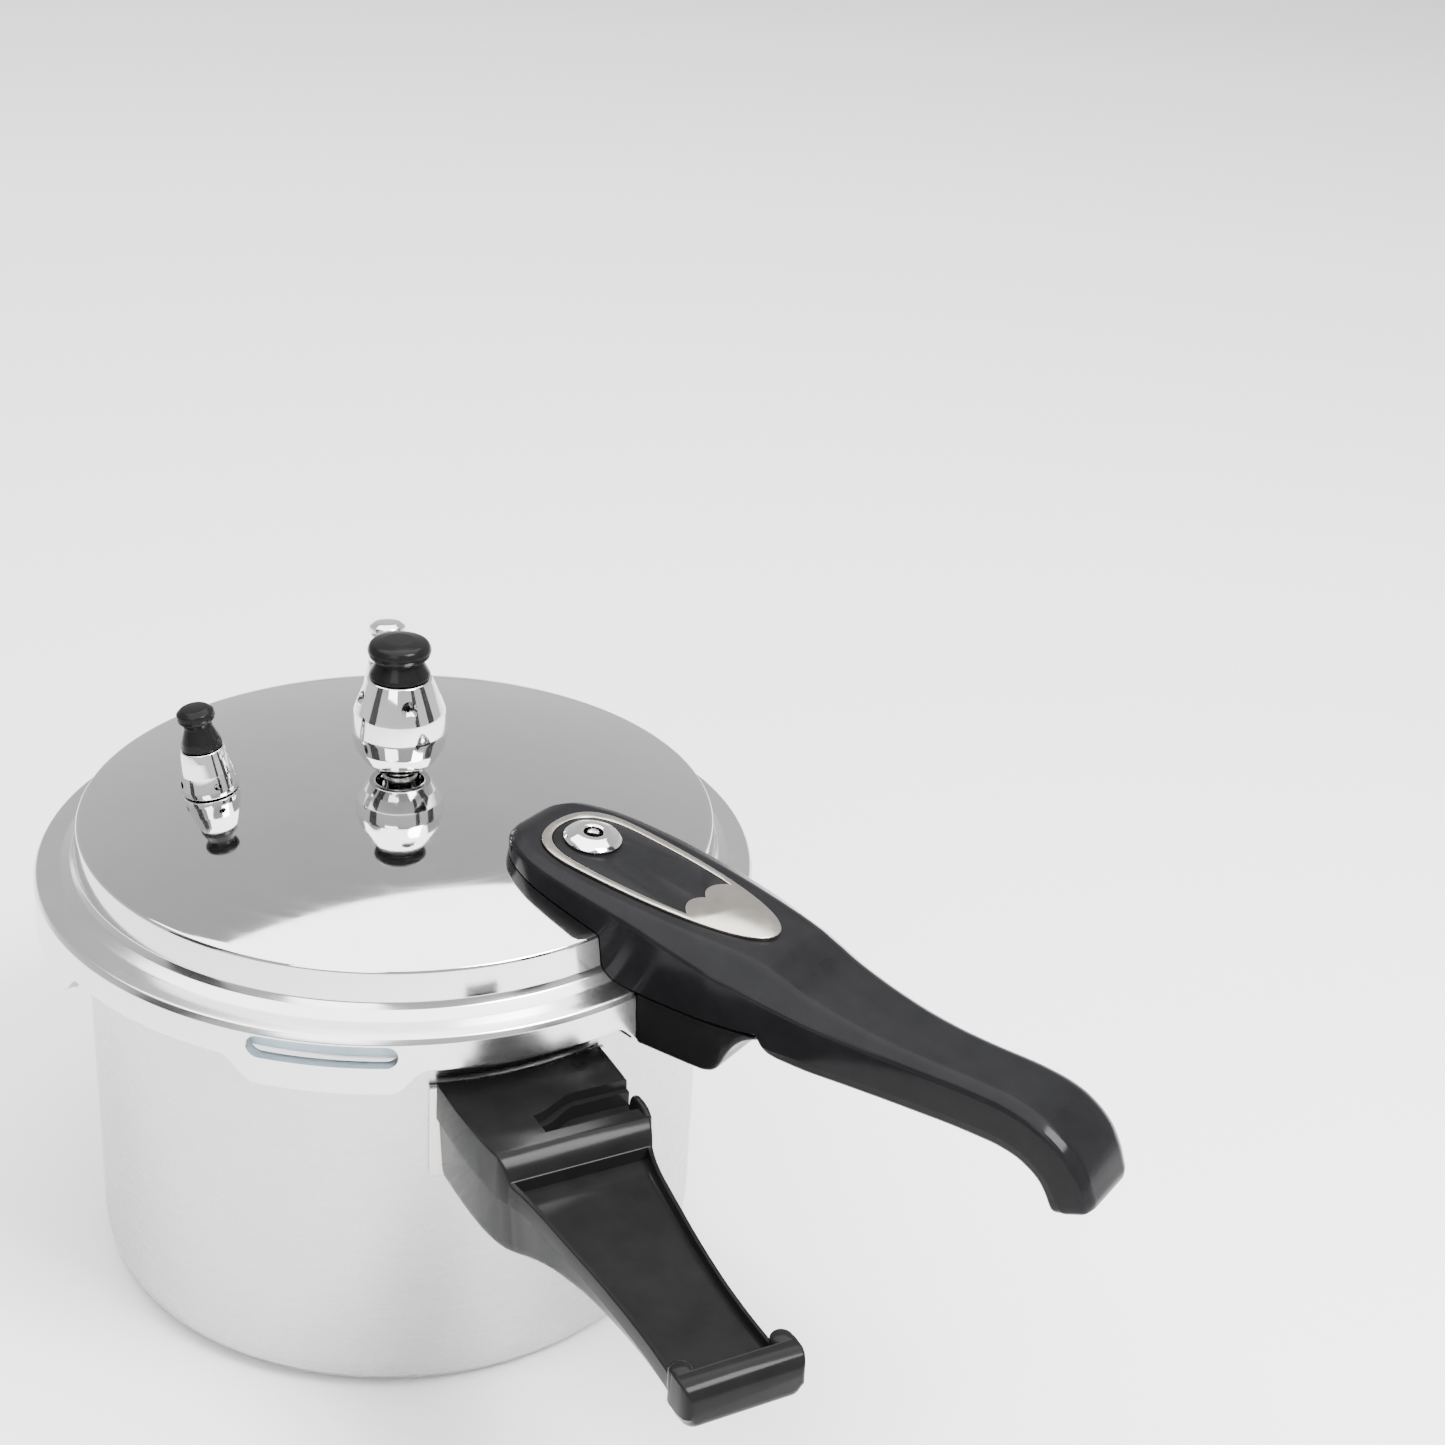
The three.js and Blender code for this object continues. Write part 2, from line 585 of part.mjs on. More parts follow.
/** Half-plane with a bracket-shaped edge, which ends the plate's window. */
function windowEnd(shift) {
  const shape = new THREE.Shape();
  const x = 13.5 + shift;
  shape.moveTo(-60, -30);
  shape.lineTo(x + 7, -30);
  shape.lineTo(x + 7, -13);
  shape.bezierCurveTo(x + 1, -10, x - 1, -4, x + 3.6, 0);
  shape.bezierCurveTo(x - 1, 4, x + 1, 10, x + 7, 13);
  shape.lineTo(x + 7, 30);
  shape.lineTo(-60, 30);
  shape.closePath();
  return shape;
}

function windowSolid(inset, z0, z1) {
  return solid(plate(trimOval(inset), z0, z1, 7)).intersect(solid(plate(windowEnd(-inset / 2), z0, z1, 5)));
}

function trimPlate() {
  const whole = solid(plate(trimOval(0), -TRIM.thick, 0, 7));
  return geometryOf(whole.subtract(windowSolid(2.6, -5, 5)));
}

/** Distance along the trim plane from its middle to the indicator's axis. */
function indicatorX() {
  const tilt = radians(TRIM.tilt);
  return (FLOAT.x - TRIM.x) * Math.cos(tilt) - (FLOAT.z - TRIM.z) * Math.sin(tilt);
}

function trimInsert() {
  const hole = rod(3.6, -5, 5).translate(indicatorX(), 0, 0);
  return geometryOf(windowSolid(2.6 + GAP, -TRIM.thick, 0.2).subtract(solid(hole)));
}

function indicatorBezel() {
  return turnedRing([[3.4, 0.5], [9, 0.5], [9, 1], [7.6, 2.1], [5.4, 2.9], [3.9, 3.1], [3.4, 2.8]])
    .translate(indicatorX(), 0, 0);
}

function floatPin() {
  const rest = -5.6 - FLOAT.travel;
  return turned([
    [0, rest - 2.4], [5.2, rest - 2.4], [5.2, rest], [2.3, rest], [2.3, 2.6], [3.3, 2.6], [3.3, 3.8],
    [2.3, 3.8],
    [2.3, 9.4], [1.2, 10.2], [0, 10.2],
  ], 16);
}

function floatGrommet() {
  return turnedRing([
    [2.8, -5.2], [7, -5.2], [7, -3.4], [4.9, -3.4], [4.9, 0.7], [6, 0.7], [6, 2.2], [2.8, 2.2],
  ]);
}

// ---------------------------------------------------------------- the whole cooker
const pot = assembly(
  piece('pot_body', potBody(), MATERIAL.satinAluminium),
  piece('pot_handle_bracket', potHandleBracket(), MATERIAL.polishedAluminium),
  piece('pot_handle', potHandle(), MATERIAL.phenolic),
  piece('pot_handle_screw', screw(POT_SCREW_X, 4.2, 85, 88, 2, 108), MATERIAL.steel),
);

const lidGasket = piece('lid_gasket', gasket(), MATERIAL.rubber);

const lidPlate = assembly(
  piece('lid_shell', lidShell(), MATERIAL.polishedAluminium),
  piece('vent_pipe', ventPipe(), MATERIAL.steel),
  piece('vent_pipe_nut', hexNut(15, 4.3, 163.6, 170.2 - GAP), MATERIAL.steel),
);

const weight = assembly(
  piece('weight_shell', weightShell(), MATERIAL.chrome),
  piece('weight_knob', weightKnob(), MATERIAL.phenolic),
  piece('weight_needle', weightNeedle(), MATERIAL.steel),
);

const blackValve = safetyValve('black', BLACK_VALVE_ANGLE, MATERIAL.phenolic, { neckR: 4.5, capR: 6.2, coneR: 6.7 });
const silverValve = safetyValve('silver', SILVER_VALVE_ANGLE, MATERIAL.chrome, { neckR: 4.9, capR: 6.5, coneR: 6.8 });

const trim = trimFrame();
trim.add(
  piece('trim_plate', trimPlate(), MATERIAL.nickel),
  piece('trim_insert', trimInsert(), MATERIAL.phenolic),
  piece('indicator_bezel', indicatorBezel(), MATERIAL.chrome),
);

const indicator = floatFrame();
indicator.add(
  piece('float_pin', floatPin(), MATERIAL.steel),
  piece('float_grommet', floatGrommet(), MATERIAL.rubber),
);

const lidHandle = assembly(
  piece('lid_handle_top', lidHandleTop(), MATERIAL.phenolic),
  piece('lid_handle_base', lidHandleBase(), MATERIAL.phenolic),
  piece('lid_handle_bracket', lidHandleBracket(), MATERIAL.steel),
  piece('lid_handle_screw', screw(LID_SCREW_X, 4, 130.3, 133.1, 1.9, 158), MATERIAL.steel),
  piece('lock_pin', lockPin(), MATERIAL.steel),
  piece('lock_spring', coilSpring(3.8, 0.5, 136.4, 144.9, 4).translate(LOCK.x, 0, 0), MATERIAL.steel),
);

const lid = assembly(lidPlate, weight, blackValve, silverValve, trim, indicator, lidHandle);
lid.rotation.z = radians(LID_TURN);

const cooker = assembly(pot, lidGasket, lid);

export default cooker;
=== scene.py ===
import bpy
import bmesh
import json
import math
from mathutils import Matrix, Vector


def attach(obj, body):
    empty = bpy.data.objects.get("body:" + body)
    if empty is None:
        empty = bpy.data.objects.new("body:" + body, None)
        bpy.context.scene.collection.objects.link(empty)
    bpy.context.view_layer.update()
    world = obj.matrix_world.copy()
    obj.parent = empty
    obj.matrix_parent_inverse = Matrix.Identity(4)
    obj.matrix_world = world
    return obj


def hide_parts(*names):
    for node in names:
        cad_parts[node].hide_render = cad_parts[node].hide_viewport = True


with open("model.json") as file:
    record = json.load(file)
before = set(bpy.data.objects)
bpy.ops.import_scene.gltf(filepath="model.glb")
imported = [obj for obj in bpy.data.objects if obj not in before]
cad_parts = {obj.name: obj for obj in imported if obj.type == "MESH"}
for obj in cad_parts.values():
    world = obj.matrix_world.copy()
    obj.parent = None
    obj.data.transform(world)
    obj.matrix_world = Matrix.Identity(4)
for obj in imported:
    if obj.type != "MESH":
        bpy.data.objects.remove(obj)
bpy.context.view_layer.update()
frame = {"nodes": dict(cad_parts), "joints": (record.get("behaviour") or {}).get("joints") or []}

# %% [markdown]
# # A stove-top pressure cooker
# The cooker is a drawn aluminium pot, a pressed lid that turns into it, two black handles, a lift-off weight
# and two small safety valves. The working model already fixes every size and every joint. This lesson gives
# each piece its finished shape and surface, and puts it on the body that moves it.
# Lengths in the lists below are millimetres, because that is how such a part is dimensioned.

MM = 0.001
joints = {joint["name"]: joint for joint in frame["joints"]}
LID_TURN = abs(joints["lid_turn"]["range_deg"][0])

# %% [markdown]
# ## Starting a piece
# An operator works on everything that is selected, so each piece starts with nothing selected and one new
# primitive. The helpers below do that, enter and leave edit mode, and apply one modifier at a time.

# %% start, edit and cut
def only(piece):
    if bpy.context.mode != "OBJECT":
        bpy.ops.object.mode_set(mode="OBJECT")
    bpy.ops.object.select_all(action="DESELECT")
    piece.select_set(True)
    bpy.context.view_layer.objects.active = piece


def start(name, primitive, **sizes):
    bpy.ops.object.select_all(action="DESELECT")
    primitive(**sizes)
    piece = bpy.context.active_object
    piece.name = name
    piece.data.name = name
    return piece


def edit():
    bpy.ops.object.mode_set(mode="EDIT")
    bpy.ops.mesh.select_all(action="SELECT")


def close_up(weld=1e-6):
    """Weld what meets, turn every face outwards and leave edit mode."""
    bpy.ops.mesh.select_all(action="SELECT")
    bpy.ops.mesh.remove_doubles(threshold=weld)
    bpy.ops.mesh.normals_make_consistent(inside=False)
    bpy.ops.object.mode_set(mode="OBJECT")


def apply(piece, kind, **settings):
    modifier = piece.modifiers.new(kind.lower(), kind)
    for key, value in settings.items():
        setattr(modifier, key, value)
    only(piece)
    bpy.ops.object.modifier_apply(modifier=modifier.name)


def cut(piece, *tools, how="DIFFERENCE"):
    for tool in tools:
        apply(piece, "BOOLEAN", operation=how, solver="EXACT", object=tool)
        bpy.data.objects.remove(tool)
    return piece


def place(piece, matrix):
    piece.matrix_world = matrix @ piece.matrix_world
    only(piece)
    bpy.ops.object.transform_apply(location=True, rotation=True, scale=True)
    return piece


def copy_of(piece, name):
    twin = piece.copy()
    twin.data = piece.data.copy()
    twin.name = name
    twin.data.name = name
    bpy.context.collection.objects.link(twin)
    return twin


# %% [markdown]
# ## Round corners on paper first
# Pressed and moulded edges are never sharp, and a sharp edge never catches the light. A bevel on the finished
# mesh is hard to steer, so the corner of the drawn outline is swapped for a short curve instead.

# %% soften an outline
def soften(corners, steps=4, ring=True):
    """Corners are (u, v, radius). Each becomes steps + 1 points; the ends of an open line stay put."""
    points = []
    for i, corner in enumerate(corners):
        here = Vector(corner[:2])
        radius = corner[2] if len(corner) > 2 else 0
        if not ring and (i in (0, len(corners) - 1) or radius == 0):
            points.append(here)
            continue
        back = Vector(corners[i - 1][:2]) - here
        ahead = Vector(corners[(i + 1) % len(corners)][:2]) - here
        half_angle = back.angle(ahead) / 2
        reach = max(radius, 0.03) / max(math.tan(half_angle), 0.05)
        reach = min(reach, 0.48 * back.length, 0.48 * ahead.length)
        first = here + back.normalized() * reach
        last = here + ahead.normalized() * reach
        for k in range(steps + 1):
            t = k / steps
            points.append(first * (1 - t) ** 2 + here * 2 * t * (1 - t) + last * t ** 2)
    return [(p[0], p[1]) for p in points]


# %% [markdown]
# ## Turned pieces
# The pot, lid, weight, valves and pins are all round. A single point is pulled along half of the section,
# and the line that it leaves is spun about the upright axis, the way the real one is spun or turned.

# %% turned pieces
def half_section(name, line, closed):
    piece = start(name, bpy.ops.mesh.primitive_plane_add, size=0.002)
    edit()
    bpy.ops.mesh.merge(type="CENTER")
    bpy.ops.mesh.select_all(action="SELECT")
    bpy.ops.transform.translate(value=(line[0][0] * MM, 0, line[0][1] * MM))
    for (r0, z0), (r1, z1) in zip(line, line[1:]):
        step = ((r1 - r0) * MM, 0, (z1 - z0) * MM)
        bpy.ops.mesh.extrude_vertices_move(TRANSFORM_OT_translate={"value": step})
    bpy.ops.mesh.select_all(action="SELECT")
    if closed:
        bpy.ops.mesh.edge_face_add()
    return piece


def turned(name, corners, steps=64, ring=False):
    """A ring's section closes on itself; the others start and end on the axis."""
    line = soften(corners, ring=ring)
    if ring:
        line.append(line[0])
    piece = half_section(name, line, closed=False)
    bpy.ops.mesh.spin(steps=steps, angle=2 * math.pi, center=(0, 0, 0), axis=(0, 0, 1))
    close_up()
    return piece


def part_ring(name, corners, start_degrees, sweep_degrees, steps):
    """A closed section swept part of the way round, with a face at each end."""
    piece = half_section(name, soften(corners), closed=True)
    bpy.ops.mesh.spin(steps=steps, angle=-math.radians(sweep_degrees), center=(0, 0, 0), axis=(0, 0, 1))
    close_up()
    return place(piece, Matrix.Rotation(math.radians(start_degrees), 4, "Z"))


def join(pieces, name):
    only(pieces[0])
    for piece in pieces:
        piece.select_set(True)
    bpy.ops.object.join()
    pieces[0].name = name
    return pieces[0]


def around(piece, count):
    """The same shape count times about the upright axis, as one object."""
    copies = [piece]
    for k in range(1, count):
        copies.append(place(copy_of(piece, piece.name), Matrix.Rotation(2 * math.pi * k / count, 4, "Z")))
    return join(copies, piece.name)


# %% [markdown]
# ## Moulded pieces
# A handle changes its section all the way along. One outline is extruded again and again, and each new
# outline is set on the next station, so the shape is exactly as drawn and the skin stays closed. Stations
# between the drawn ones come from a curve that never overshoots them.

# %% moulded pieces
def loft(name, outlines):
    piece = start(name, bpy.ops.mesh.primitive_circle_add, vertices=len(outlines[0]), radius=0.01,
                  fill_type="NGON")
    edit()
    mesh = bmesh.from_edit_mesh(piece.data)
    mesh.verts.ensure_lookup_table()
    order = {vertex.index: i for i, vertex in enumerate(mesh.faces[:][0].verts)}
    for vertex in mesh.verts:
        vertex.co = Vector(outlines[0][order[vertex.index]]) * MM
    for outline in outlines[1:]:
        bpy.ops.mesh.extrude_region_move(TRANSFORM_OT_translate={"value": (0, 0, 0)})
        mesh = bmesh.from_edit_mesh(piece.data)
        mesh.verts.index_update()
        fresh = {}
        for vertex in mesh.verts:
            if vertex.select:
                old = next(edge.other_vert(vertex) for edge in vertex.link_edges
                           if not edge.other_vert(vertex).select)
                fresh[vertex.index] = order[old.index]
                vertex.co = Vector(outline[order[old.index]]) * MM
        order = fresh
    bmesh.update_edit_mesh(piece.data)
    close_up(weld=1e-7)
    return piece


def between(stations, parts=5):
    """Rows of numbers, with parts - 1 smooth rows added between each pair."""
    count = len(stations)
    travel = [0.0]
    for a, b in zip(stations, stations[1:]):
        travel.append(travel[-1] + max(math.hypot(b[0] - a[0], b[2] - a[2], b[3] - a[3]), 0.2))
    columns = []
    for c in range(len(stations[0])):
        values = [row[c] for row in stations]
        slopes = [(values[i + 1] - values[i]) / (travel[i + 1] - travel[i]) for i in range(count - 1)]
        tangents = [slopes[0]]
        for a, b in zip(slopes, slopes[1:]):
            tangents.append(0 if a * b <= 0 else 2 * a * b / (a + b))
        tangents.append(slopes[-1])
        column = []
        for i in range(count - 1):
            length = travel[i + 1] - travel[i]
            for k in range(parts):
                t = k / parts
                column.append(values[i] * (1 + 2 * t) * (1 - t) ** 2 + tangents[i] * length * t * (1 - t) ** 2
                              + values[i + 1] * t ** 2 * (3 - 2 * t)
                              + tangents[i + 1] * length * t ** 2 * (t - 1))
        columns.append(column + [values[-1]])
    return list(zip(*columns))


def prism(name, outline, low, high):
    return loft(name, [[(x, y, z) for x, y in outline] for z in (low, high)])


def rod(name, radius, low, high, at=(0, 0), steps=48):
    """A round tool for cutting holes."""
    return start(name, bpy.ops.mesh.primitive_cylinder_add, vertices=steps, radius=radius * MM,
                 depth=(high - low) * MM, location=(at[0] * MM, at[1] * MM, (low + high) / 2 * MM))


def block(name, low, high):
    middle = [(a + b) / 2 * MM for a, b in zip(low, high)]
    piece = start(name, bpy.ops.mesh.primitive_cube_add, size=1, location=middle)
    piece.scale = [(b - a) * MM for a, b in zip(low, high)]
    bpy.ops.object.transform_apply(location=True, rotation=True, scale=True)
    return piece


# %% [markdown]
# ## Finishes
# Every finish is built from nodes that read the piece's own coordinates, so it moves with the piece. Metals
# differ mostly in roughness and in the fine marks that the polishing wheel or the lathe left.

# %% node helpers
def node(tree, kind, inputs=None, **settings):
    made = tree.nodes.new(kind)
    for key, value in settings.items():
        setattr(made, key, value)
    for key, value in (inputs or {}).items():
        if isinstance(value, bpy.types.NodeSocket):
            tree.links.new(value, made.inputs[key])
        else:
            made.inputs[key].default_value = value
    return made


def blank(name):
    material = bpy.data.materials.new(name)
    material.use_nodes = True
    tree = material.node_tree
    return material, tree, tree.nodes["Principled BSDF"], node(tree, "ShaderNodeTexCoord").outputs["Object"]


def noise(tree, where, scale, detail=2.0, roughness=0.5):
    return node(tree, "ShaderNodeTexNoise", {"Vector": where, "Scale": scale, "Detail": detail,
                                             "Roughness": roughness}).outputs["Fac"]


def spread(tree, value, low, high, start_at=0.0, end_at=1.0):
    """Map a 0 to 1 pattern on to a range."""
    return node(tree, "ShaderNodeMapRange", {"Value": value, "From Min": start_at, "From Max": end_at,
                                             "To Min": low, "To Max": high}).outputs["Result"]


def maths(tree, operation, a, b=0.0):
    return node(tree, "ShaderNodeMath", {0: a, 1: b}, operation=operation).outputs[0]


def tint(tree, value, dark, light):
    return node(tree, "ShaderNodeMix", {"Factor": value, 6: (*dark, 1), 7: (*light, 1)},
                data_type="RGBA").outputs[2]


def bump(tree, height, depth_mm, strength=1.0, normal=None):
    inputs = {"Height": height, "Distance": depth_mm * MM, "Strength": strength}
    if normal is not None:
        inputs["Normal"] = normal
    return node(tree, "ShaderNodeBump", inputs).outputs["Normal"]


def ring_place(tree, where):
    """Distance from the upright axis and height, so that a pattern runs in rings."""
    parts = node(tree, "ShaderNodeSeparateXYZ", {0: where}).outputs
    flat = node(tree, "ShaderNodeCombineXYZ", {0: parts[0], 1: parts[1]}).outputs[0]
    radius = node(tree, "ShaderNodeVectorMath", {0: flat}, operation="LENGTH").outputs["Value"]
    return node(tree, "ShaderNodeCombineXYZ", {0: radius, 1: parts[2]}).outputs[0], radius, parts[2]


# %% metals
def metal(name, dark, light, rough, patch_scale=40, grain_scale=1500, grain_mm=0.002):
    """Plain bright metal with faint smudges and a fine grain."""
    material, tree, shader, where = blank(name)
    patches = noise(tree, where, patch_scale, 4.0, 0.6)
    grain = noise(tree, where, grain_scale, 2.0)
    tree.links.new(tint(tree, patches, dark, light), shader.inputs["Base Color"])
    tree.links.new(spread(tree, patches, rough[0], rough[1], 0.3, 0.7), shader.inputs["Roughness"])
    tree.links.new(bump(tree, grain, grain_mm), shader.inputs["Normal"])
    shader.inputs["Metallic"].default_value = 1.0
    return material


def spun_metal(name, dark, light, rough, line_mm, wave_mm, scuff, edge_marks=1.0):
    """Aluminium with turning lines in rings, a slow waviness and light scuffs, deeper past the dome."""
    material, tree, shader, where = blank(name)
    rings, radius, height = ring_place(tree, where)
    lines = noise(tree, rings, 2600, 2.0, 0.7)
    wide_lines = noise(tree, rings, 420, 2.0)
    waves = noise(tree, where, 22, 1.0)
    patches = noise(tree, where, 60, 5.0, 0.65)
    worn = spread(tree, patches, 0.0, scuff, 0.55, 0.75)
    base = spread(tree, wide_lines, rough[0], rough[1], 0.3, 0.7)
    tree.links.new(maths(tree, "ADD", base, worn), shader.inputs["Roughness"])
    tree.links.new(tint(tree, patches, dark, light), shader.inputs["Base Color"])
    first = bump(tree, waves, wave_mm)
    deeper = maths(tree, "MULTIPLY", lines, spread(tree, radius, 1.0, edge_marks, 0.1035, 0.105))
    second = bump(tree, deeper, line_mm, normal=first)
    tree.links.new(second, shader.inputs["Normal"])
    shader.inputs["Metallic"].default_value = 1.0
    return material, tree, shader, radius


satin_aluminium = spun_metal("satin_aluminium", (0.50, 0.50, 0.51), (0.55, 0.55, 0.56), (0.24, 0.30),
                             0.0012, 0.01, 0.05)[0]
lid_aluminium, lid_tree, lid_shader, lid_radius = spun_metal(
    "polished_aluminium", (0.66, 0.66, 0.665), (0.73, 0.73, 0.735), (0.035, 0.07), 0.0004, 0.012, 0.03,
    edge_marks=6.0)
dull = spread(lid_tree, lid_radius, 0.0, 0.15, 0.1035, 0.107)
source = lid_shader.inputs["Roughness"].links[0].from_socket
lid_tree.links.new(maths(lid_tree, "ADD", source, dull), lid_shader.inputs["Roughness"])
chrome = metal("bright_chrome", (0.82, 0.82, 0.82), (0.90, 0.90, 0.89), (0.03, 0.07), 60)
bead_chrome = metal("silver_chrome", (0.78, 0.78, 0.78), (0.86, 0.86, 0.86), (0.10, 0.2), 60)
plain_steel = metal("plain_steel", (0.52, 0.51, 0.49), (0.66, 0.65, 0.63), (0.22, 0.36), 120, 2500, 0.004)
nickel = metal("satin_nickel", (0.50, 0.47, 0.42), (0.58, 0.545, 0.49), (0.16, 0.24), 130, 2600, 0.003)
print("metals", [m.name for m in (satin_aluminium, lid_aluminium, chrome, bead_chrome, plain_steel, nickel)])


# %% [markdown]
# The black mouldings are phenolic resin. It is glossy where the mould was polished, a little duller on faces
# that look up, and its surface has the faint unevenness of a moulding that shrank as it cured. The sealing
# ring is matt silicone with a dusty bloom.

# %% plastics and rubber
def moulded(name, colour, gloss, top_gloss, wave_mm=0.02):
    material, tree, shader, where = blank(name)
    normal = node(tree, "ShaderNodeTexCoord").outputs["Normal"]
    up = node(tree, "ShaderNodeSeparateXYZ", {0: normal}).outputs[2]
    facing_up = spread(tree, up, 0.0, 1.0, 0.80, 0.95)
    patches = noise(tree, where, 90, 4.0, 0.6)
    smooth = spread(tree, facing_up, gloss, top_gloss)
    tree.links.new(maths(tree, "ADD", smooth, spread(tree, patches, -0.02, 0.04)), shader.inputs["Roughness"])
    light = tuple(c * 1.8 + 0.002 for c in colour)
    tree.links.new(tint(tree, patches, colour, light), shader.inputs["Base Color"])
    first = bump(tree, noise(tree, where, 60, 1.0), wave_mm)
    second = bump(tree, noise(tree, where, 2200, 2.0), 0.004, normal=first)
    tree.links.new(second, shader.inputs["Normal"])
    shader.inputs["IOR"].default_value = 1.20
    shader.inputs["Specular IOR Level"].default_value = 0.35
    return material


phenolic = moulded("black_phenolic", (0.005, 0.005, 0.0055), 0.12, 0.30)
glossy_phenolic = moulded("glossy_phenolic", (0.005, 0.005, 0.005), 0.16, 0.14)
silicone = moulded("blue_grey_silicone", (0.30, 0.38, 0.43), 0.5, 0.5, 0.05)


# %% hand a finished piece to its body
def finish(piece, material, body, slot, *nodes, angle=32):
    only(piece)
    bpy.ops.object.shade_smooth_by_angle(angle=math.radians(angle))
    piece.data.materials.clear()
    piece.data.materials.append(material)
    for face in piece.data.polygons:
        face.material_index = 0
    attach(piece, body)
    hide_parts(*nodes)
    triangles = sum(len(face.vertices) - 2 for face in piece.data.polygons)
    print(piece.name, "for", nodes, triangles, "triangles")


# %% [markdown]
# ## Pot
# The pot is drawn from one disc, with a large soft corner at the base and a thick rim. Six lugs stand out
# from the rim; the lid's own lugs turn under them. The body is one spun section, and the lugs are short
# arcs joined to it.

# %% pot
POT_RADIUS = 102.5
RIM_TOP = 136
pot = turned("drawn_pot", [
    (0, 0), (POT_RADIUS - 0.2, 0, 13), (POT_RADIUS, 129, 3), (104.5, 131, 1), (104.5, RIM_TOP, 1.2),
    (100, RIM_TOP, 1.2), (100, 4.2, 10), (0, 4),
], steps=192)
lug = part_ring("pot_lug", [(103.4, 131, 0.2), (111.5, 131, 1.4), (111.5, RIM_TOP, 1.4), (103.4, RIM_TOP,
    0.2)],
                -13, 26, 14)
cut(pot, around(lug, 6), how="UNION")
finish(pot, satin_aluminium, "pot", "satin_aluminium", "pot_body")

# %% [markdown]
# A formed metal saddle is welded to the wall and carries the handle. Only its edge shows beside the handle's
# root.

# %% pot bracket and screw
WALL = POT_RADIUS + 0.3
saddle = part_ring("saddle_bracket", [(WALL, 86, 0.4), (WALL + 1.8, 86, 0.8), (WALL + 1.8, 119, 0.8), (WALL,
    119, 0.4)],
                   -16, 32, 16)
cut(saddle, block("tongue", (WALL + 0.8, -9, 97), (127, 9, 103)), how="UNION")
cut(saddle, rod("screw_hole", 2.4, 90, 110, at=(117, 0)))
finish(saddle, plain_steel, "pot", "polished_aluminium", "pot_handle_bracket")


def pan_screw(name, x, head, low, high, shank, tip):
    """A pan-head screw, head down, with a cross slot."""
    screw = turned(name, [
        (0, low), (head, low, 1.4), (head, high, 0.3), (shank, high, 0.2), (shank, tip - 1.2, 0.3),
        (0.4, tip), (0, tip),
    ], steps=32)
    cut(screw, block("slot", (-2.2, -0.45, low - 1), (2.2, 0.45, low + 1.4)))
    cut(screw, block("slot", (-0.45, -2.2, low - 1), (0.45, 2.2, low + 1.4)))
    return place(screw, Matrix.Translation((x * MM, 0, 0)))


finish(pan_screw("saddle_screw", 117, 4.2, 85, 88, 2, 108), plain_steel, "pot", "steel", "pot_handle_screw")

# %% [markdown]
# ## Pot handle
# The handle is one black moulding. Its root is a block with a locking socket, then it drops down a chamfered
# step to a shallow trough with thin rims, and it ends in a broader bar with two curls. Both sides carry a
# small ledge where the mould halves meet.

# %% pot handle, outer shape
GRIP = [  # distance from the axis, half width, top, bottom, height of the side ledge
    (98, 27, 120.5, 84, 108), (112, 27, 120.5, 84, 107.5), (128, 26.4, 120.5, 84.1, 107),
    (136, 25.6, 120.5, 84.7, 106.8),
    (141.2, 24.8, 120.5, 85.6, 106.6), (141.9, 24.7, 120.3, 85.8, 106.6), (145.6, 23.6, 116.8, 86.8, 106.6),
    (146.4, 23.3, 115.4, 87, 106.6), (147, 23.1, 114.2, 87.2, 106.6), (148.6, 22.7, 113.7, 87.8, 106.7),
    (152, 21.8, 113.4, 89.1, 107), (158, 20.7, 113, 91.3, 107.2), (165, 19.8, 112.8, 93.6, 107.3),
    (175, 18.7, 112.5, 96.1, 107.2),
    (185, 17.6, 112.2, 98, 107), (197, 16.5, 112, 99.6, 106.8), (210, 15.7, 111.8, 100.8, 106.6),
    (222, 15.4, 111.8, 101.4, 106.6), (231, 15.5, 111.8, 101.7, 106.6), (234.6, 15.8, 111.8, 101.9, 106.6),
    (235.8, 16.1, 112.6, 102, 106.8), (236.5, 16.7, 114.6, 102.1, 107), (237.4, 17.5, 116.4, 102.2, 107.2),
    (238.6, 18, 117.5, 102.4, 107.4), (240.4, 18.2, 118, 102.6, 107.6), (244.4, 18.1, 118, 103.2, 107.8),
    (246.4, 17.8, 117.3, 104.2, 108), (247.8, 17.3, 115.9, 105.3, 108.4), (248.7, 16.6, 114.2, 106.6, 109),
    (249, 15.8, 112.6, 108, 110),
]


def grip_outline(x, half, top, bottom, ledge):
    right = [(half - 2.2, bottom, 5), (half - 0.8, ledge - 0.7, 0.3), (half, ledge, 0.3),
        (half - 0.2, top, 0.8)]
    left = [(-y, z, r) for y, z, r in reversed(right)]
    return [(x, y, z) for y, z in soften(right + left)]


pot_grip = loft("pot_grip", [grip_outline(*row) for row in between(GRIP, 3)])
print("pot handle skin", len(pot_grip.data.vertices))

# %% pot handle, trough and wall
TROUGH = [  # distance, half width, floor, and a nought that between() expects
    (147.2, 21.2, 110, 0), (152, 20.1, 109.8, 0), (158, 19.0, 109.6, 0), (165, 18.1, 109.3, 0),
    (175, 17, 109, 0),
    (185, 15.9, 108.8, 0), (197, 14.8, 108.6, 0), (210, 14, 108.4, 0), (222, 13.7, 108.4, 0),
    (233, 13.8, 108.4, 0),
    (237, 13.9, 108.4, 0), (239.6, 13.7, 108.6, 0), (241.2, 12.6, 109.2, 0),
]
trough = loft("trough", [
    [(x, y, z) for y, z in soften([(half, floor, 1.6), (half + 0.5, 130, 0), (-half - 0.5, 130, 0), (-half,
    floor, 1.6)])]
    for x, half, floor, _ in between(TROUGH, 3)])
cut(pot_grip, trough)
cut(pot_grip, rod("wall", WALL + 2.1, 60, 140, steps=192))
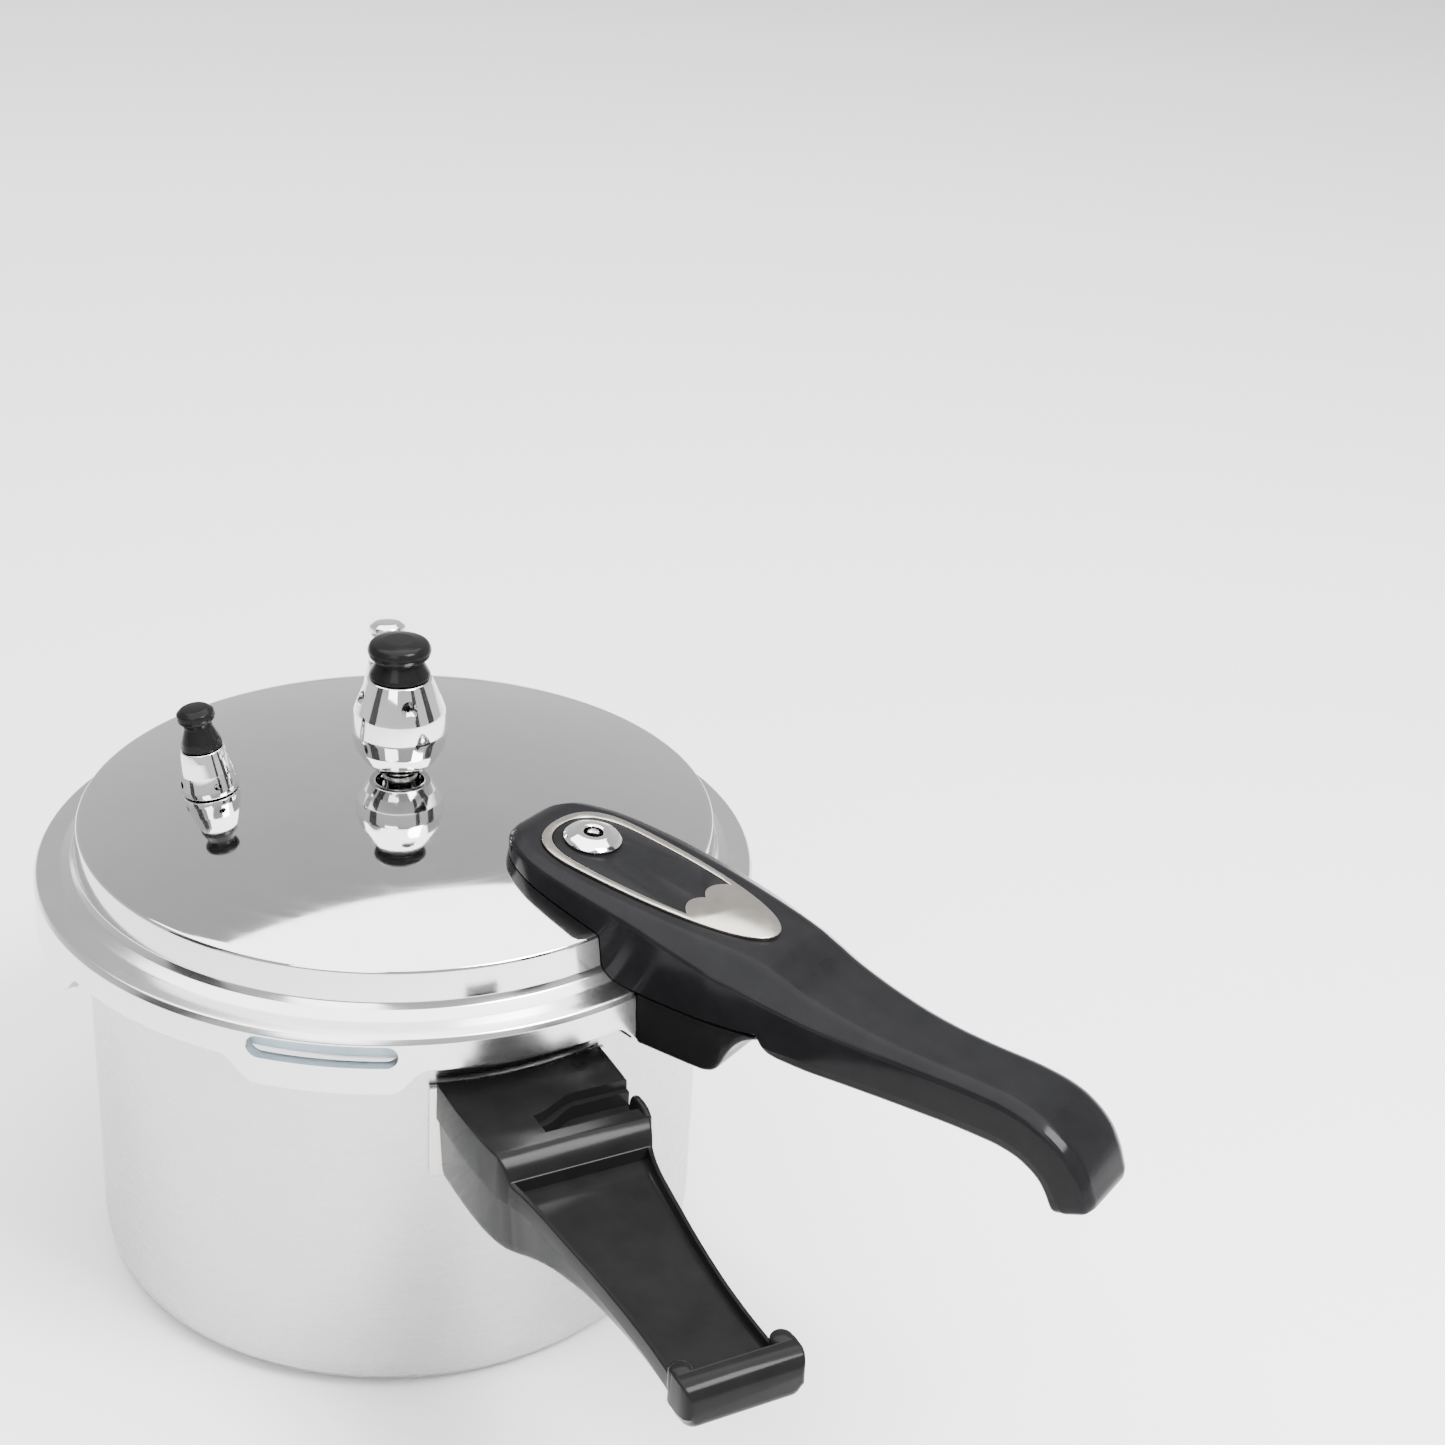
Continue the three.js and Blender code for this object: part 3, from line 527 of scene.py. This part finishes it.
cut(pot_grip, block("tongue_pocket", (96, -9.3, 96.7), (127.3, 9.3, 103.3)))
cut(pot_grip, rod("screw_hole", 2.4, 80, 109, at=(117, 0)), rod("screw_seat", 4.6, 80, 88.3, at=(117, 0)))

# %% [markdown]
# The socket catches the lid's locking pin. Its inner wall is a long S-curve, which lifts the pin as the lid
# comes round, and it is open on the side that the pin arrives from. It is cut twice, the second time deeper
# and a little further in, which leaves the ledge along the curve.

# %% pot handle, locking socket
def socket(inset, floor):
    curve = []
    for k in range(17):
        t = k / 16
        ease = t * t * (3 - 2 * t)
        curve.append((127.5 + (121.5 - 127.5) * ease + inset, -7 + 16 * t + inset * (1 - t)))
    outline = [(136.5, 36), (136.5, -7 + inset)] + curve + [(121.5 + inset, 36)]
    return prism("socket", outline, floor, 135)


cut(pot_grip, socket(0, 117.2), socket(2.0, 112.6))
lip = loft("socket_lip", [
    [(x, y, z) for y, z in soften([(25.4, 116, 0.5), (25.2, top, 0.9), (23.2, top, 0.9), (23, 116, 0.5)])]
    for x, top in ((130.2, 118.4), (130.6, 120.4), (131.6, 121.8), (133, 122.4), (136, 122.5), (139, 122),
    (141, 120.6))])
cut(pot_grip, lip, how="UNION")
for side in (-1, 1):
    curl = turned("end_curl", [(0, 109.5), (3.0, 109.5), (3.3, 112), (3.3, 118, 1.6), (0, 118.3)], steps=40)
    place(curl, Matrix.Translation((239.0 * MM, side * 14.8 * MM, 0)))
    cut(pot_grip, curl, how="UNION")
finish(pot_grip, glossy_phenolic, "pot", "phenolic", "pot_handle")

# %% [markdown]
# ## Sealing ring
# The ring sits in the lid's channel and shows through the window in the skirt. A groove on its inside lets
# the pressure spread it.

# %% sealing ring
seal = turned("sealing_ring", [
    (101, 136.3, 0.8), (113.4, 136.3, 0.8), (113.4, 141.5, 0.8), (105.6, 141.5, 0.4), (102.6, 141.5, 0.8),
    (103.6, 138.9, 1),
], steps=192, ring=True)
finish(seal, silicone, "gasket", "silicone", "lid_gasket")

# %% [markdown]
# ## Lid
# The lid is pressed from one sheet: a shallow mirror-polished dome, an upright band, a hollow fillet, a flat
# flange and a skirt. Six lugs hang from the skirt and a slot in it shows the sealing ring. The skirt is spun
# with many steps, so that its lower edge can be drawn down into lugs with soft double-curved ends.

# %% lid section
DOME_TOP, DOME_RISE, DOME_RADIUS = 172.7, 13.0, 103.8
SKIRT, SKIRT_BOTTOM, LUG_BOTTOM = 117.85, 134.0, 126.1


def dome(r):
    return DOME_TOP - DOME_RISE * (r / DOME_RADIUS) ** 2


def lid_outside(grow=0.0):
    """From the middle of the dome out to the top of the skirt."""
    line = [(r, dome(r) + grow) for r in (0, 8, 16, 25, 34, 43, 52, 60, 68, 76, 84, 91, 97, 101)]
    shoulder = [(DOME_RADIUS, 159.7, 1.5), (105, 149.7, 1.6), (106.2, 147.9, 1.2), (109.5, 145.9, 2.6),
        (113.3, 145.5, 1.5),
                (116.8, 145.0, 1.2), (SKIRT, 143.2, 0.9)]
    return line + [(r + grow, z + grow, radius) for r, z, radius in shoulder]


inside = [(0, 170.2)] + [(r, dome(r) - 2.5) for r in (25, 50, 72, 90)]
inside += [(101.3, 157.4, 1.5), (102.4, 147, 1.5), (105, 142.4, 1), (114, 141.8, 0.8), (114, 136),
    (114, 134.8)]
edge = [(114, SKIRT_BOTTOM, 0.4), (SKIRT, SKIRT_BOTTOM, 1.0), (SKIRT, 134.9), (SKIRT, 136)]
lid = turned("pressed_lid", inside + edge + list(reversed(lid_outside())), steps=480)

# %% drop lugs and lips
edit()
mesh = bmesh.from_edit_mesh(lid.data)
pitch = math.radians(60)
for vertex in mesh.verts:
    x, y, z = vertex.co
    if z < (SKIRT_BOTTOM + 1.05) * MM and math.hypot(x, y) > 0.11:
        angle = math.atan2(y, x)
        off = abs(math.degrees(angle - pitch * round(angle / pitch)))
        t = min(max((15.2 - off) / 5.2, 0), 1)
        vertex.co.z -= (SKIRT_BOTTOM - LUG_BOTTOM) * MM * t * t * (3 - 2 * t)
bmesh.update_edit_mesh(lid.data)
close_up()
lips = around(part_ring("lip", [(106, 126.4, 1), (115, 126.4, 0.5), (115, 130, 0.3), (106, 130, 1.2)], -11.2,
    22.4, 16), 6)
cut(lid, lips, how="UNION")

# %% [markdown]
# The slot in the skirt has round ends, so its tool is a curved bar with a short cylinder at each end. The
# other holes take the steam pipe, the two valves and the pressure indicator.

# %% slot and holes
BAND = 3.7
middle = (135.3 + 142.7) / 2
slot_half = 11 - math.degrees(BAND / SKIRT)
tools = [part_ring("slot", [(111, middle - BAND), (124, middle - BAND), (124, middle + BAND), (111,
    middle + BAND)],
                   -60 - slot_half, 2 * slot_half, 24)]
for end in (-60 - slot_half, -60 + slot_half):
    turn = math.radians(end)
    tools.append(start("slot_end", bpy.ops.mesh.primitive_cylinder_add, vertices=48, radius=BAND * MM,
        depth=13 * MM,
                       location=(117.5 * MM * math.cos(turn), 117.5 * MM * math.sin(turn), middle * MM),
                       rotation=(0, math.pi / 2, turn)))
cut(lid, *tools)


def valve_frame(degrees):
    """On the dome at the valves' distance, upright to its surface, before the lid is turned."""
    reach = 60.8
    slope = math.atan(2 * DOME_RISE * reach / DOME_RADIUS ** 2)
    return (Matrix.Rotation(math.radians(degrees), 4,
        "Z") @ Matrix.Translation((reach * MM, 0, dome(reach) * MM))
            @ Matrix.Rotation(slope, 4, "Y"))


TRIM_TILT = 6.4


def tilted(x, z):
    """The tilt that the trim plate and the indicator share."""
    return Matrix.Translation((x * MM, 0, z * MM)) @ Matrix.Rotation(math.radians(TRIM_TILT), 4, "Y")


TRIM_FRAME = tilted(106.6, 171.65)
FLOAT_FRAME = tilted(78, 165.35)
INDICATOR = -27.7
LID = Matrix.Rotation(math.radians(LID_TURN), 4, "Z")
holes = [rod("vent_hole", 4.8, 160, 180), place(rod("float_hole", 5.3, -12, 12), FLOAT_FRAME)]
holes += [place(rod("valve_hole", 4.6, -12, 12), valve_frame(a)) for a in (-135, 135)]
cut(lid, *holes)
place(lid, LID)
finish(lid, lid_aluminium, "lid", "polished_aluminium", "lid_shell", angle=28)

# %% [markdown]
# ## Steam pipe and weight
# Steam leaves through a pipe in the middle of the dome. The weight that rides on it is a chromed, pear-shaped
# shell with four countersunk vents, under a black button.

# %% steam pipe and weight
pipe = turned("steam_pipe", [
    (1.5, 161), (4, 161, 0.3), (4, 173.0, 0.2), (5.75, 173.0, 0.4), (5.75, 175.2, 0.6), (4, 175.4, 0.3),
    (4, 194, 1),
    (2.6, 197, 0.5), (1.5, 197, 0.2)], steps=48, ring=True)
finish(place(pipe, LID), plain_steel, "lid", "steel", "vent_pipe")

shell = turned("weight_body", [
    (8, 175.7, 0.8), (10.2, 175.7, 1), (12.4, 178.4, 1.5), (14.9, 182.6, 2.5), (15.95, 188.2, 5),
    (14.9, 195.2, 6),
    (12.6, 201, 5), (10.4, 206.3, 0.8), (9.6, 206.6, 0.5), (3.4, 206.6, 0.2), (3.4, 203.4), (8.4, 203.4, 1),
    (11, 198, 2),
    (13, 192, 2), (13.1, 187, 2), (12, 182.6, 2), (8, 178.2, 0.8)], steps=96, ring=True)
for k in range(4):
    turn = math.radians(90 * k - 35)
    side = Vector((math.cos(turn), math.sin(turn), 0)) * 12.4 * MM + Vector((0, 0, 200.8 * MM))
    common = {"vertices": 32, "location": side, "rotation": (0, math.pi / 2, turn)}
    vent = start("vent", bpy.ops.mesh.primitive_cylinder_add, radius=1.9 * MM, depth=9 * MM, **common)
    sink = start("sink", bpy.ops.mesh.primitive_cone_add, radius1=1.4 * MM, radius2=3.4 * MM, depth=2.4 * MM,
        **common)
    cut(shell, vent, sink)
finish(place(shell, LID), chrome, "weight", "chrome", "weight_shell")

button = turned("weight_button", [
    (0, 213.2), (3.5, 213.2), (3.5, 206.9), (10.2, 206.9, 0.5), (9.6, 208.4, 0.8), (7.5, 212.4, 1.4),
    (7.7, 213.2, 0.8),
    (9.6, 213.8, 1.2), (10.4, 216, 2.2), (9.4, 218.6, 2.4), (5, 219.4, 2), (0, 219.5)], steps=96)
finish(place(button, LID), glossy_phenolic, "weight", "phenolic", "weight_knob")

# %% [markdown]
# ## Safety valves
# Two spring valves stand on the dome, at right angles to its surface. Their barrels are the same turned ogive
# with four ports near the foot. One has a black cap and the other a metal one.

# %% valve barrels and caps
def barrel(name):
    body = turned(name, [
        (1.8, -9), (4.2, -9, 0.4), (4.2, 0.3, 0.2), (9.2, 0.3, 0.6), (9.25, 2.4, 1), (8.6, 7.6, 4),
        (7.6, 12.5, 3), (6.9, 15.35, 0.4),
        (5.4, 15.35, 0.2), (5.4, 2.4), (1.8, 2.4)], steps=64, ring=True)
    for k in range(4):
        turn = math.radians(90 * k + 20)
        port = start("port", bpy.ops.mesh.primitive_cylinder_add, vertices=24, radius=1.2 * MM, depth=6 * MM,
                     location=(8.2 * MM * math.cos(turn), 8.2 * MM * math.sin(turn), 4.4 * MM),
                     rotation=(0, math.pi / 2, turn))
        cut(body, port)
    return body


def cap(name, cone, neck, disc):
    return turned(name, [
        (0, 14.2), (5.1, 14.2, 0.3), (5.1, 15.7), (cone, 15.7, 0.5), (cone - 0.5, 18.5, 2), (neck, 23.2, 1.5),
        (neck + 0.2, 24.8, 0.6), (disc - 0.5, 25.2, 0.6), (disc, 26.6, 1), (disc - 0.2, 28.2, 1),
        (disc * 0.7, 29.5, 1.5), (0, 29.8)], steps=64)


for side, degrees, cap_material, cap_slot, sizes, metal_finish in (
        ("black", -135, glossy_phenolic, "phenolic", (6.7, 4.5, 6.2), chrome),
        ("silver", 135, bead_chrome, "chrome", (6.8, 4.9, 6.5), bead_chrome)):
    stand = LID @ valve_frame(degrees)
    finish(place(barrel(side + "_barrel"), stand), metal_finish, "lid", "chrome", side + "_valve_body")
    finish(place(cap(side + "_cap", *sizes), stand), cap_material, "lid", cap_slot, side + "_valve_cap")

# %% [markdown]
# ## Lid handle
# The upper moulding starts as a broad nose on the dome, carries the trim plate on a flat crown, narrows to a
# waist and ends in a hook. Each station has a lower and an upper point, so that the sections can lean round
# the hook. A ridge runs along each side between the flat side and the sloping shoulder.

# %% lid handle, outer shape
def crown(x, lower=0.0):
    return 170.85 - (x - 106.6) * math.tan(math.radians(TRIM_TILT)) - lower


ARM = [  # lower point x, half width, lower z, upper point x, upper z, ridge below the crown, crown half width
    (52.8, 3, 150, 52.8, 171.2, 0.8, 1.0), (53.3, 6.6, 150, 53.3, 172.8, 1.2, 3.0),
    (54.6, 10.4, 150, 54.6, 174.4, 1.5, 6.4),
    (57, 14, 150, 57, 175.6, 1.6, 9.8), (60.5, 17.2, 150, 60.5, crown(60.5), 1.6, 13),
    (66, 20.2, 150, 66, crown(66), 1.5, 16),
    (74, 22.8, 150, 74, crown(74), 1.5, 18.4), (84, 24.2, 149, 84, crown(84), 1.6, 19.6),
    (97, 25, 147.6, 97, crown(97), 1.8, 20),
    (112, 25.3, 144.8, 112, crown(112), 2.6, 19.6), (124, 25.5, 144.5, 124, crown(124), 3.9, 18.8),
    (136, 25.3, 144.5, 136, crown(136), 5.4, 17.4), (146, 24.2, 144.5, 146, crown(146, 0.2), 6.6, 16.2),
    (154, 22.9, 144.5, 154, 164.6, 6.5, 15.2), (156.4, 22.5, 144.4, 156.6, 163.7, 6.3, 15),
    (157, 22.3, 143, 157.4, 163.4, 6.2, 14.9),
    (158.4, 22, 140.8, 159, 162.8, 6.0, 14.8), (161, 21.4, 138.9, 162, 161.7, 5.7, 14.6),
    (166, 20.3, 137.5, 167, 159.7, 5.0, 14.2),
    (172, 19.2, 136.6, 173, 157.9, 4.4, 13.6), (184, 17, 135.8, 185, 155.1, 3.3, 12.4),
    (196, 15.2, 135.2, 197, 153.2, 2.6, 11.2),
    (208, 14, 134.9, 209, 152.3, 2.3, 10.2), (220, 13.4, 134.9, 221, 151.9, 2.1, 9.8),
    (230, 13.4, 134.8, 231, 151.6, 2.0, 9.8),
    (237.6, 13.7, 134, 239, 150.6, 2.0, 10), (243.2, 14, 131.9, 246, 148.7, 2.0, 10.2),
    (247, 14.1, 129.1, 252, 145.5, 2.0, 10.3),
    (249.2, 14.1, 126, 257, 141.2, 2.0, 10.3), (250.4, 14, 123.5, 260.6, 135.8, 2.0, 10.2),
    (251.2, 13.9, 122, 262.8, 130.8, 2.0, 10),
    (251.8, 13.6, 121.4, 263.8, 127.8, 1.9, 9.7), (252.6, 13, 121.1, 263.8, 126.4, 1.6, 9.2),
    (253.6, 12, 121, 262.8, 125.4, 1.2, 8.2),
]


def arm_outline(x0, half, z0, x1, z1, drop, crown_half):
    height = math.hypot(x1 - x0, z1 - z0)
    rise = min(max((x0 - 150) / 20, 0), 1)
    seam = 0.9 + 3.2 * rise * rise * (3 - 2 * rise)
    right = [(half - 1.5, 0, 2.5), (half - 0.7, seam - 0.2, 0.1), (half - 0.35, seam, 0.1),
        (half, height - drop, 2.2),
             (crown_half, height - 0.25, 6)]
    left = [(-y, h, r) for y, h, r in reversed(right)]
    lean = Vector((x1 - x0, 0, z1 - z0)) / height
    return [(x0 + lean.x * h, y, z0 + lean.z * h) for y, h in soften(right + left, steps=6)]


arm = loft("lid_grip", [arm_outline(*row) for row in between(ARM, 4)])

# %% lid handle, seat on the lid and hollows
lid_copy = turned("lid_copy", [(0, 100), (SKIRT + 0.3, 100)] + list(reversed(lid_outside(0.3))), steps=240)
cut(arm, lid_copy)
cut(arm, block("bracket_slot", (104, -12.4, 148), (146.6, 12.4, 150.7)),
    block("bracket_leg", (104, -12.4, 148), (108.9, 12.4, 158.6)))
cut(arm, rod("screw_hole", 2.2, 140, 159, at=(141, 0)), rod("spring_seat", 5, 140, 145.7, at=(129, 0)))
cut(arm, place(rod("float_well", 6.4, -6, 6.4), FLOAT_FRAME),
    place(rod("float_bore", 3.6, 0, 30), FLOAT_FRAME))


# %% [markdown]
# The trim plate is a long oval with a broad nose and a narrower tip, let into the crown. It frames a black
# inlay, whose outer edge is a curly bracket. Its outline is four joined curves, worked out here as points.

# %% trim outline
def curve_points(a, b, c, d, steps=18):
    points = []
    for k in range(steps):
        t = k / steps
        weights = ((1 - t) ** 3, 3 * t * (1 - t) ** 2, 3 * t * t * (1 - t), t ** 3)
        points.append(tuple(sum(w * p[i] for w, p in zip(weights, (a, b, c, d))) for i in (0, 1)))
    return points


def trim_oval(inset):
    nose, tip, wide = -42.3 + inset, 42.4 - inset * 1.3, 16.8 - inset
    half = curve_points((nose, 0), (nose, -wide * 0.78), (nose + 8, -wide), (nose + 20, -wide))
    half += curve_points((nose + 20, -wide), (nose + 50, -wide), (tip, -wide * 0.72), (tip, 0))
    return half + [(tip, 0)] + [(x, -y) for x, y in reversed(half[1:])]


def bracket_edge(shift):
    x = 13.5 + shift
    lobe = curve_points((x + 7, -13), (x + 1, -10), (x - 1, -4), (x + 3.6, 0))
    return [(-60, -30), (x + 7, -30)] + lobe + [(x + 3.6, 0)] + [(a, -b) for a,
        b in reversed(lobe)] + [(x + 7, 30), (-60, 30)]


def trim_window(inset, low, high):
    return cut(prism("window", trim_oval(inset), low, high),
        prism("edge", bracket_edge(-inset / 2), low - 1, high + 1),
               how="INTERSECT")


# %% trim plate, inlay and bezel
cut(arm, place(prism("recess", trim_oval(-0.25), -1.3, 8), TRIM_FRAME))
place(arm, LID)
finish(arm, phenolic, "lid", "phenolic", "lid_handle_top")

plate = cut(prism("trim_oval", trim_oval(0), -1.2, 0), trim_window(2.7, -3, 3))
apply(plate, "BEVEL", width=0.4 * MM, segments=3, limit_method="ANGLE", angle_limit=math.radians(50))
finish(place(plate, LID @ TRIM_FRAME), nickel, "lid", "nickel", "trim_plate")

inlay = cut(trim_window(2.95, -1.2, -0.15), rod("float_hole", 3.6, -5, 5, at=(INDICATOR, 0)))
apply(inlay, "BEVEL", width=0.2 * MM, segments=2, limit_method="ANGLE", angle_limit=math.radians(50))
finish(place(inlay, LID @ TRIM_FRAME), phenolic, "lid", "phenolic", "trim_insert")

bezel = turned("indicator_bezel_ring", [
    (3.1, 0.3), (9.1, 0.3, 0.2), (9.25, 0.9, 0.3), (8.2, 1.9, 1.5), (5.6, 3, 2), (3.7, 3.1, 0.5),
    (3.1, 2.7, 0.3)], steps=64, ring=True)
place(bezel, Matrix.Translation((INDICATOR * MM, 0, 0)))
finish(place(bezel, LID @ TRIM_FRAME), chrome, "lid", "chrome", "indicator_bezel")

# %% [markdown]
# The lower block is a second moulding under the root. Its outer end rolls up in a hollow curve to the parting
# line, and it houses the sprung locking pin and the handle screw.

# %% lower block
FOOT = [  # distance, half width, underside
    (112, 24.5, 126.2, 0), (132, 24.4, 126.2, 0), (138.5, 24.2, 126.2, 0), (141.6, 24, 126.8, 0),
    (143.8, 23.8, 128.4, 0),
    (145.2, 23.6, 130.8, 0), (146.6, 23.3, 134, 0), (148.6, 23, 137.4, 0), (151.2, 22.6, 140.2, 0),
    (154, 22.1, 142, 0),
    (156, 21.6, 142.8, 0),
]
foot = loft("lid_block", [
    [(x, y, z) for y, z in soften([(half - 1, low, 2), (half, 144.2, 0.2), (-half, 144.2, 0.2), (1 - half,
    low, 2)])]
    for x, half, low, _ in between(FOOT, 4)])
cut(foot, rod("skirt_copy", SKIRT + 0.3, 120, 150, steps=240))
cut(foot, rod("pin_hole", 3.3, 120, 150, at=(129, 0)), rod("spring_chamber", 5, 133, 150, at=(129, 0)))
cut(foot, rod("screw_hole", 2.2, 120, 150, at=(141, 0)), rod("screw_seat", 4.4, 120, 133.4, at=(141, 0)))
finish(place(foot, LID), glossy_phenolic, "lid", "phenolic", "lid_handle_base")
finish(place(pan_screw("handle_screw", 141, 4, 130.3, 133.1, 1.9, 158), LID), plain_steel, "lid", "steel",
    "lid_handle_screw")

# %% pins
lock = turned("locking_pin", [
    (0, 119), (2, 119, 0.8), (3, 121, 0.8), (3, 133.3, 0.2), (4.6, 133.3, 0.3), (4.6, 135.3, 0.3),
    (0, 135.3)], steps=48)
finish(place(lock, LID @ Matrix.Translation((129 * MM, 0, 0))), plain_steel, "lock", "steel", "lock_pin")
float_pin = turned("indicator_pin", [
    (0, -13), (5.2, -13, 0.4), (5.2, -10.6, 0.4), (2.3, -10.6, 0.3), (2.3, 2.6, 0.1), (3.3, 2.6, 0.2),
    (3.3, 3.8, 0.3),
    (2.3, 3.8, 0.2), (2.3, 8.8, 0.9), (0, 9)], steps=48)
finish(place(float_pin, LID @ FLOAT_FRAME), plain_steel, "indicator", "steel", "float_pin")

# %% [markdown]
# ## Hidden working parts
# The springs, plungers, washers, nuts and the inner bracket already have their true shapes and are hardly
# ever seen, so they stay as they are and only take a proper finish.

# %% finishes for the hidden parts
for name in ("black_valve_plunger", "black_valve_spring", "black_valve_nut", "silver_valve_plunger",
    "silver_valve_spring",
             "silver_valve_nut", "vent_pipe_nut", "weight_needle", "lid_handle_bracket", "lock_spring"):
    frame["nodes"][name].data.materials.clear()
    frame["nodes"][name].data.materials.append(plain_steel)
for name in ("black_valve_washer", "silver_valve_washer", "float_grommet"):
    frame["nodes"][name].data.materials.clear()
    frame["nodes"][name].data.materials.append(silicone)

# %% [markdown]
# ## Studio
# Polished metal shows the room more than itself. A pale floor and big soft lights give the even, bright
# tone, and a few grey cards put the darker bands into the dome and the chrome.

# %% floor, cards, lights and camera
def surface(name, colour, roughness):
    material, tree, shader, where = blank(name)
    tree.links.new(tint(tree, noise(tree, where, 3), colour, tuple(c * 1.02 for c in colour)),
        shader.inputs["Base Color"])
    shader.inputs["Roughness"].default_value = roughness
    return material


floor = start("floor", bpy.ops.mesh.primitive_plane_add, size=14, location=(0, 0, 0))
floor.data.materials.append(surface("pale_floor", (0.90, 0.90, 0.90), 0.7))
grey_card = surface("grey_card", (0.02, 0.018, 0.018), 0.8)


def card(name, width, height, at, look=(0, 0, 0.12)):
    piece = start(name, bpy.ops.mesh.primitive_plane_add, size=1)
    piece.scale = (width, height, 1)
    piece.location = at
    piece.rotation_euler = (Vector(look) - Vector(at)).to_track_quat("Z", "Y").to_euler()
    piece.data.materials.append(grey_card)
    return piece


def lamp(name, width, height, power, at, look=(0, 0, 0.12)):
    data = bpy.data.lights.new(name, "AREA")
    data.shape = "RECTANGLE"
    data.size, data.size_y, data.energy = width, height, power
    lamp_object = bpy.data.objects.new(name, data)
    bpy.context.collection.objects.link(lamp_object)
    lamp_object.location = at
    lamp_object.rotation_euler = (Vector(look) - Vector(at)).to_track_quat("-Z", "Y").to_euler()
    return lamp_object


cards = [card("card_left", 0.55, 1.5, (0.0, -1.5, 0.75)), card("card_right", 0.35, 1.5, (1.75, 0.75, 0.75)),
         card("card_far_right", 0.6, 1.5, (0.9, 1.6, 0.75))]
lamp("overhead_light", 4.4, 4.4, 340, (0, 0, 3.0))
lamp("key_light", 1.0, 0.8, 16, (1.3, -1.2, 1.3))
lamp("gleam_light", 0.55, 0.55, 40, (0.79, 0.40, 1.15), look=(0.2, 0, 0.12))
world = bpy.data.worlds.new("studio")
bpy.context.scene.world = world
world.use_nodes = True
world_tree = world.node_tree
sky = node(world_tree, "ShaderNodeSeparateXYZ", {0: node(world_tree,
    "ShaderNodeTexCoord").outputs["Generated"]}).outputs[2]
sky_colour = tint(world_tree, spread(world_tree, sky, 0.0, 1.0, 0.05, 0.75), (0.78, 0.78, 0.78),
    (0.50, 0.50, 0.51))
world_tree.links.new(sky_colour, world_tree.nodes["Background"].inputs["Color"])
world_tree.nodes["Background"].inputs["Strength"].default_value = 1.25

camera_data = bpy.data.cameras.new("camera")
camera_data.lens, camera_data.sensor_width = 57.83, 36
camera = bpy.data.objects.new("camera", camera_data)
bpy.context.collection.objects.link(camera)
bpy.context.scene.camera = camera
eye, target = Vector((0.6418, -0.2424, 0.5227)), Vector((-0.0344, 0.1398, 0.15))
aim = (target - eye).to_track_quat("-Z", "Y").to_matrix() @ Matrix.Rotation(0.06403, 3, "Z")
camera.matrix_world = Matrix.Translation(eye) @ aim.to_4x4()
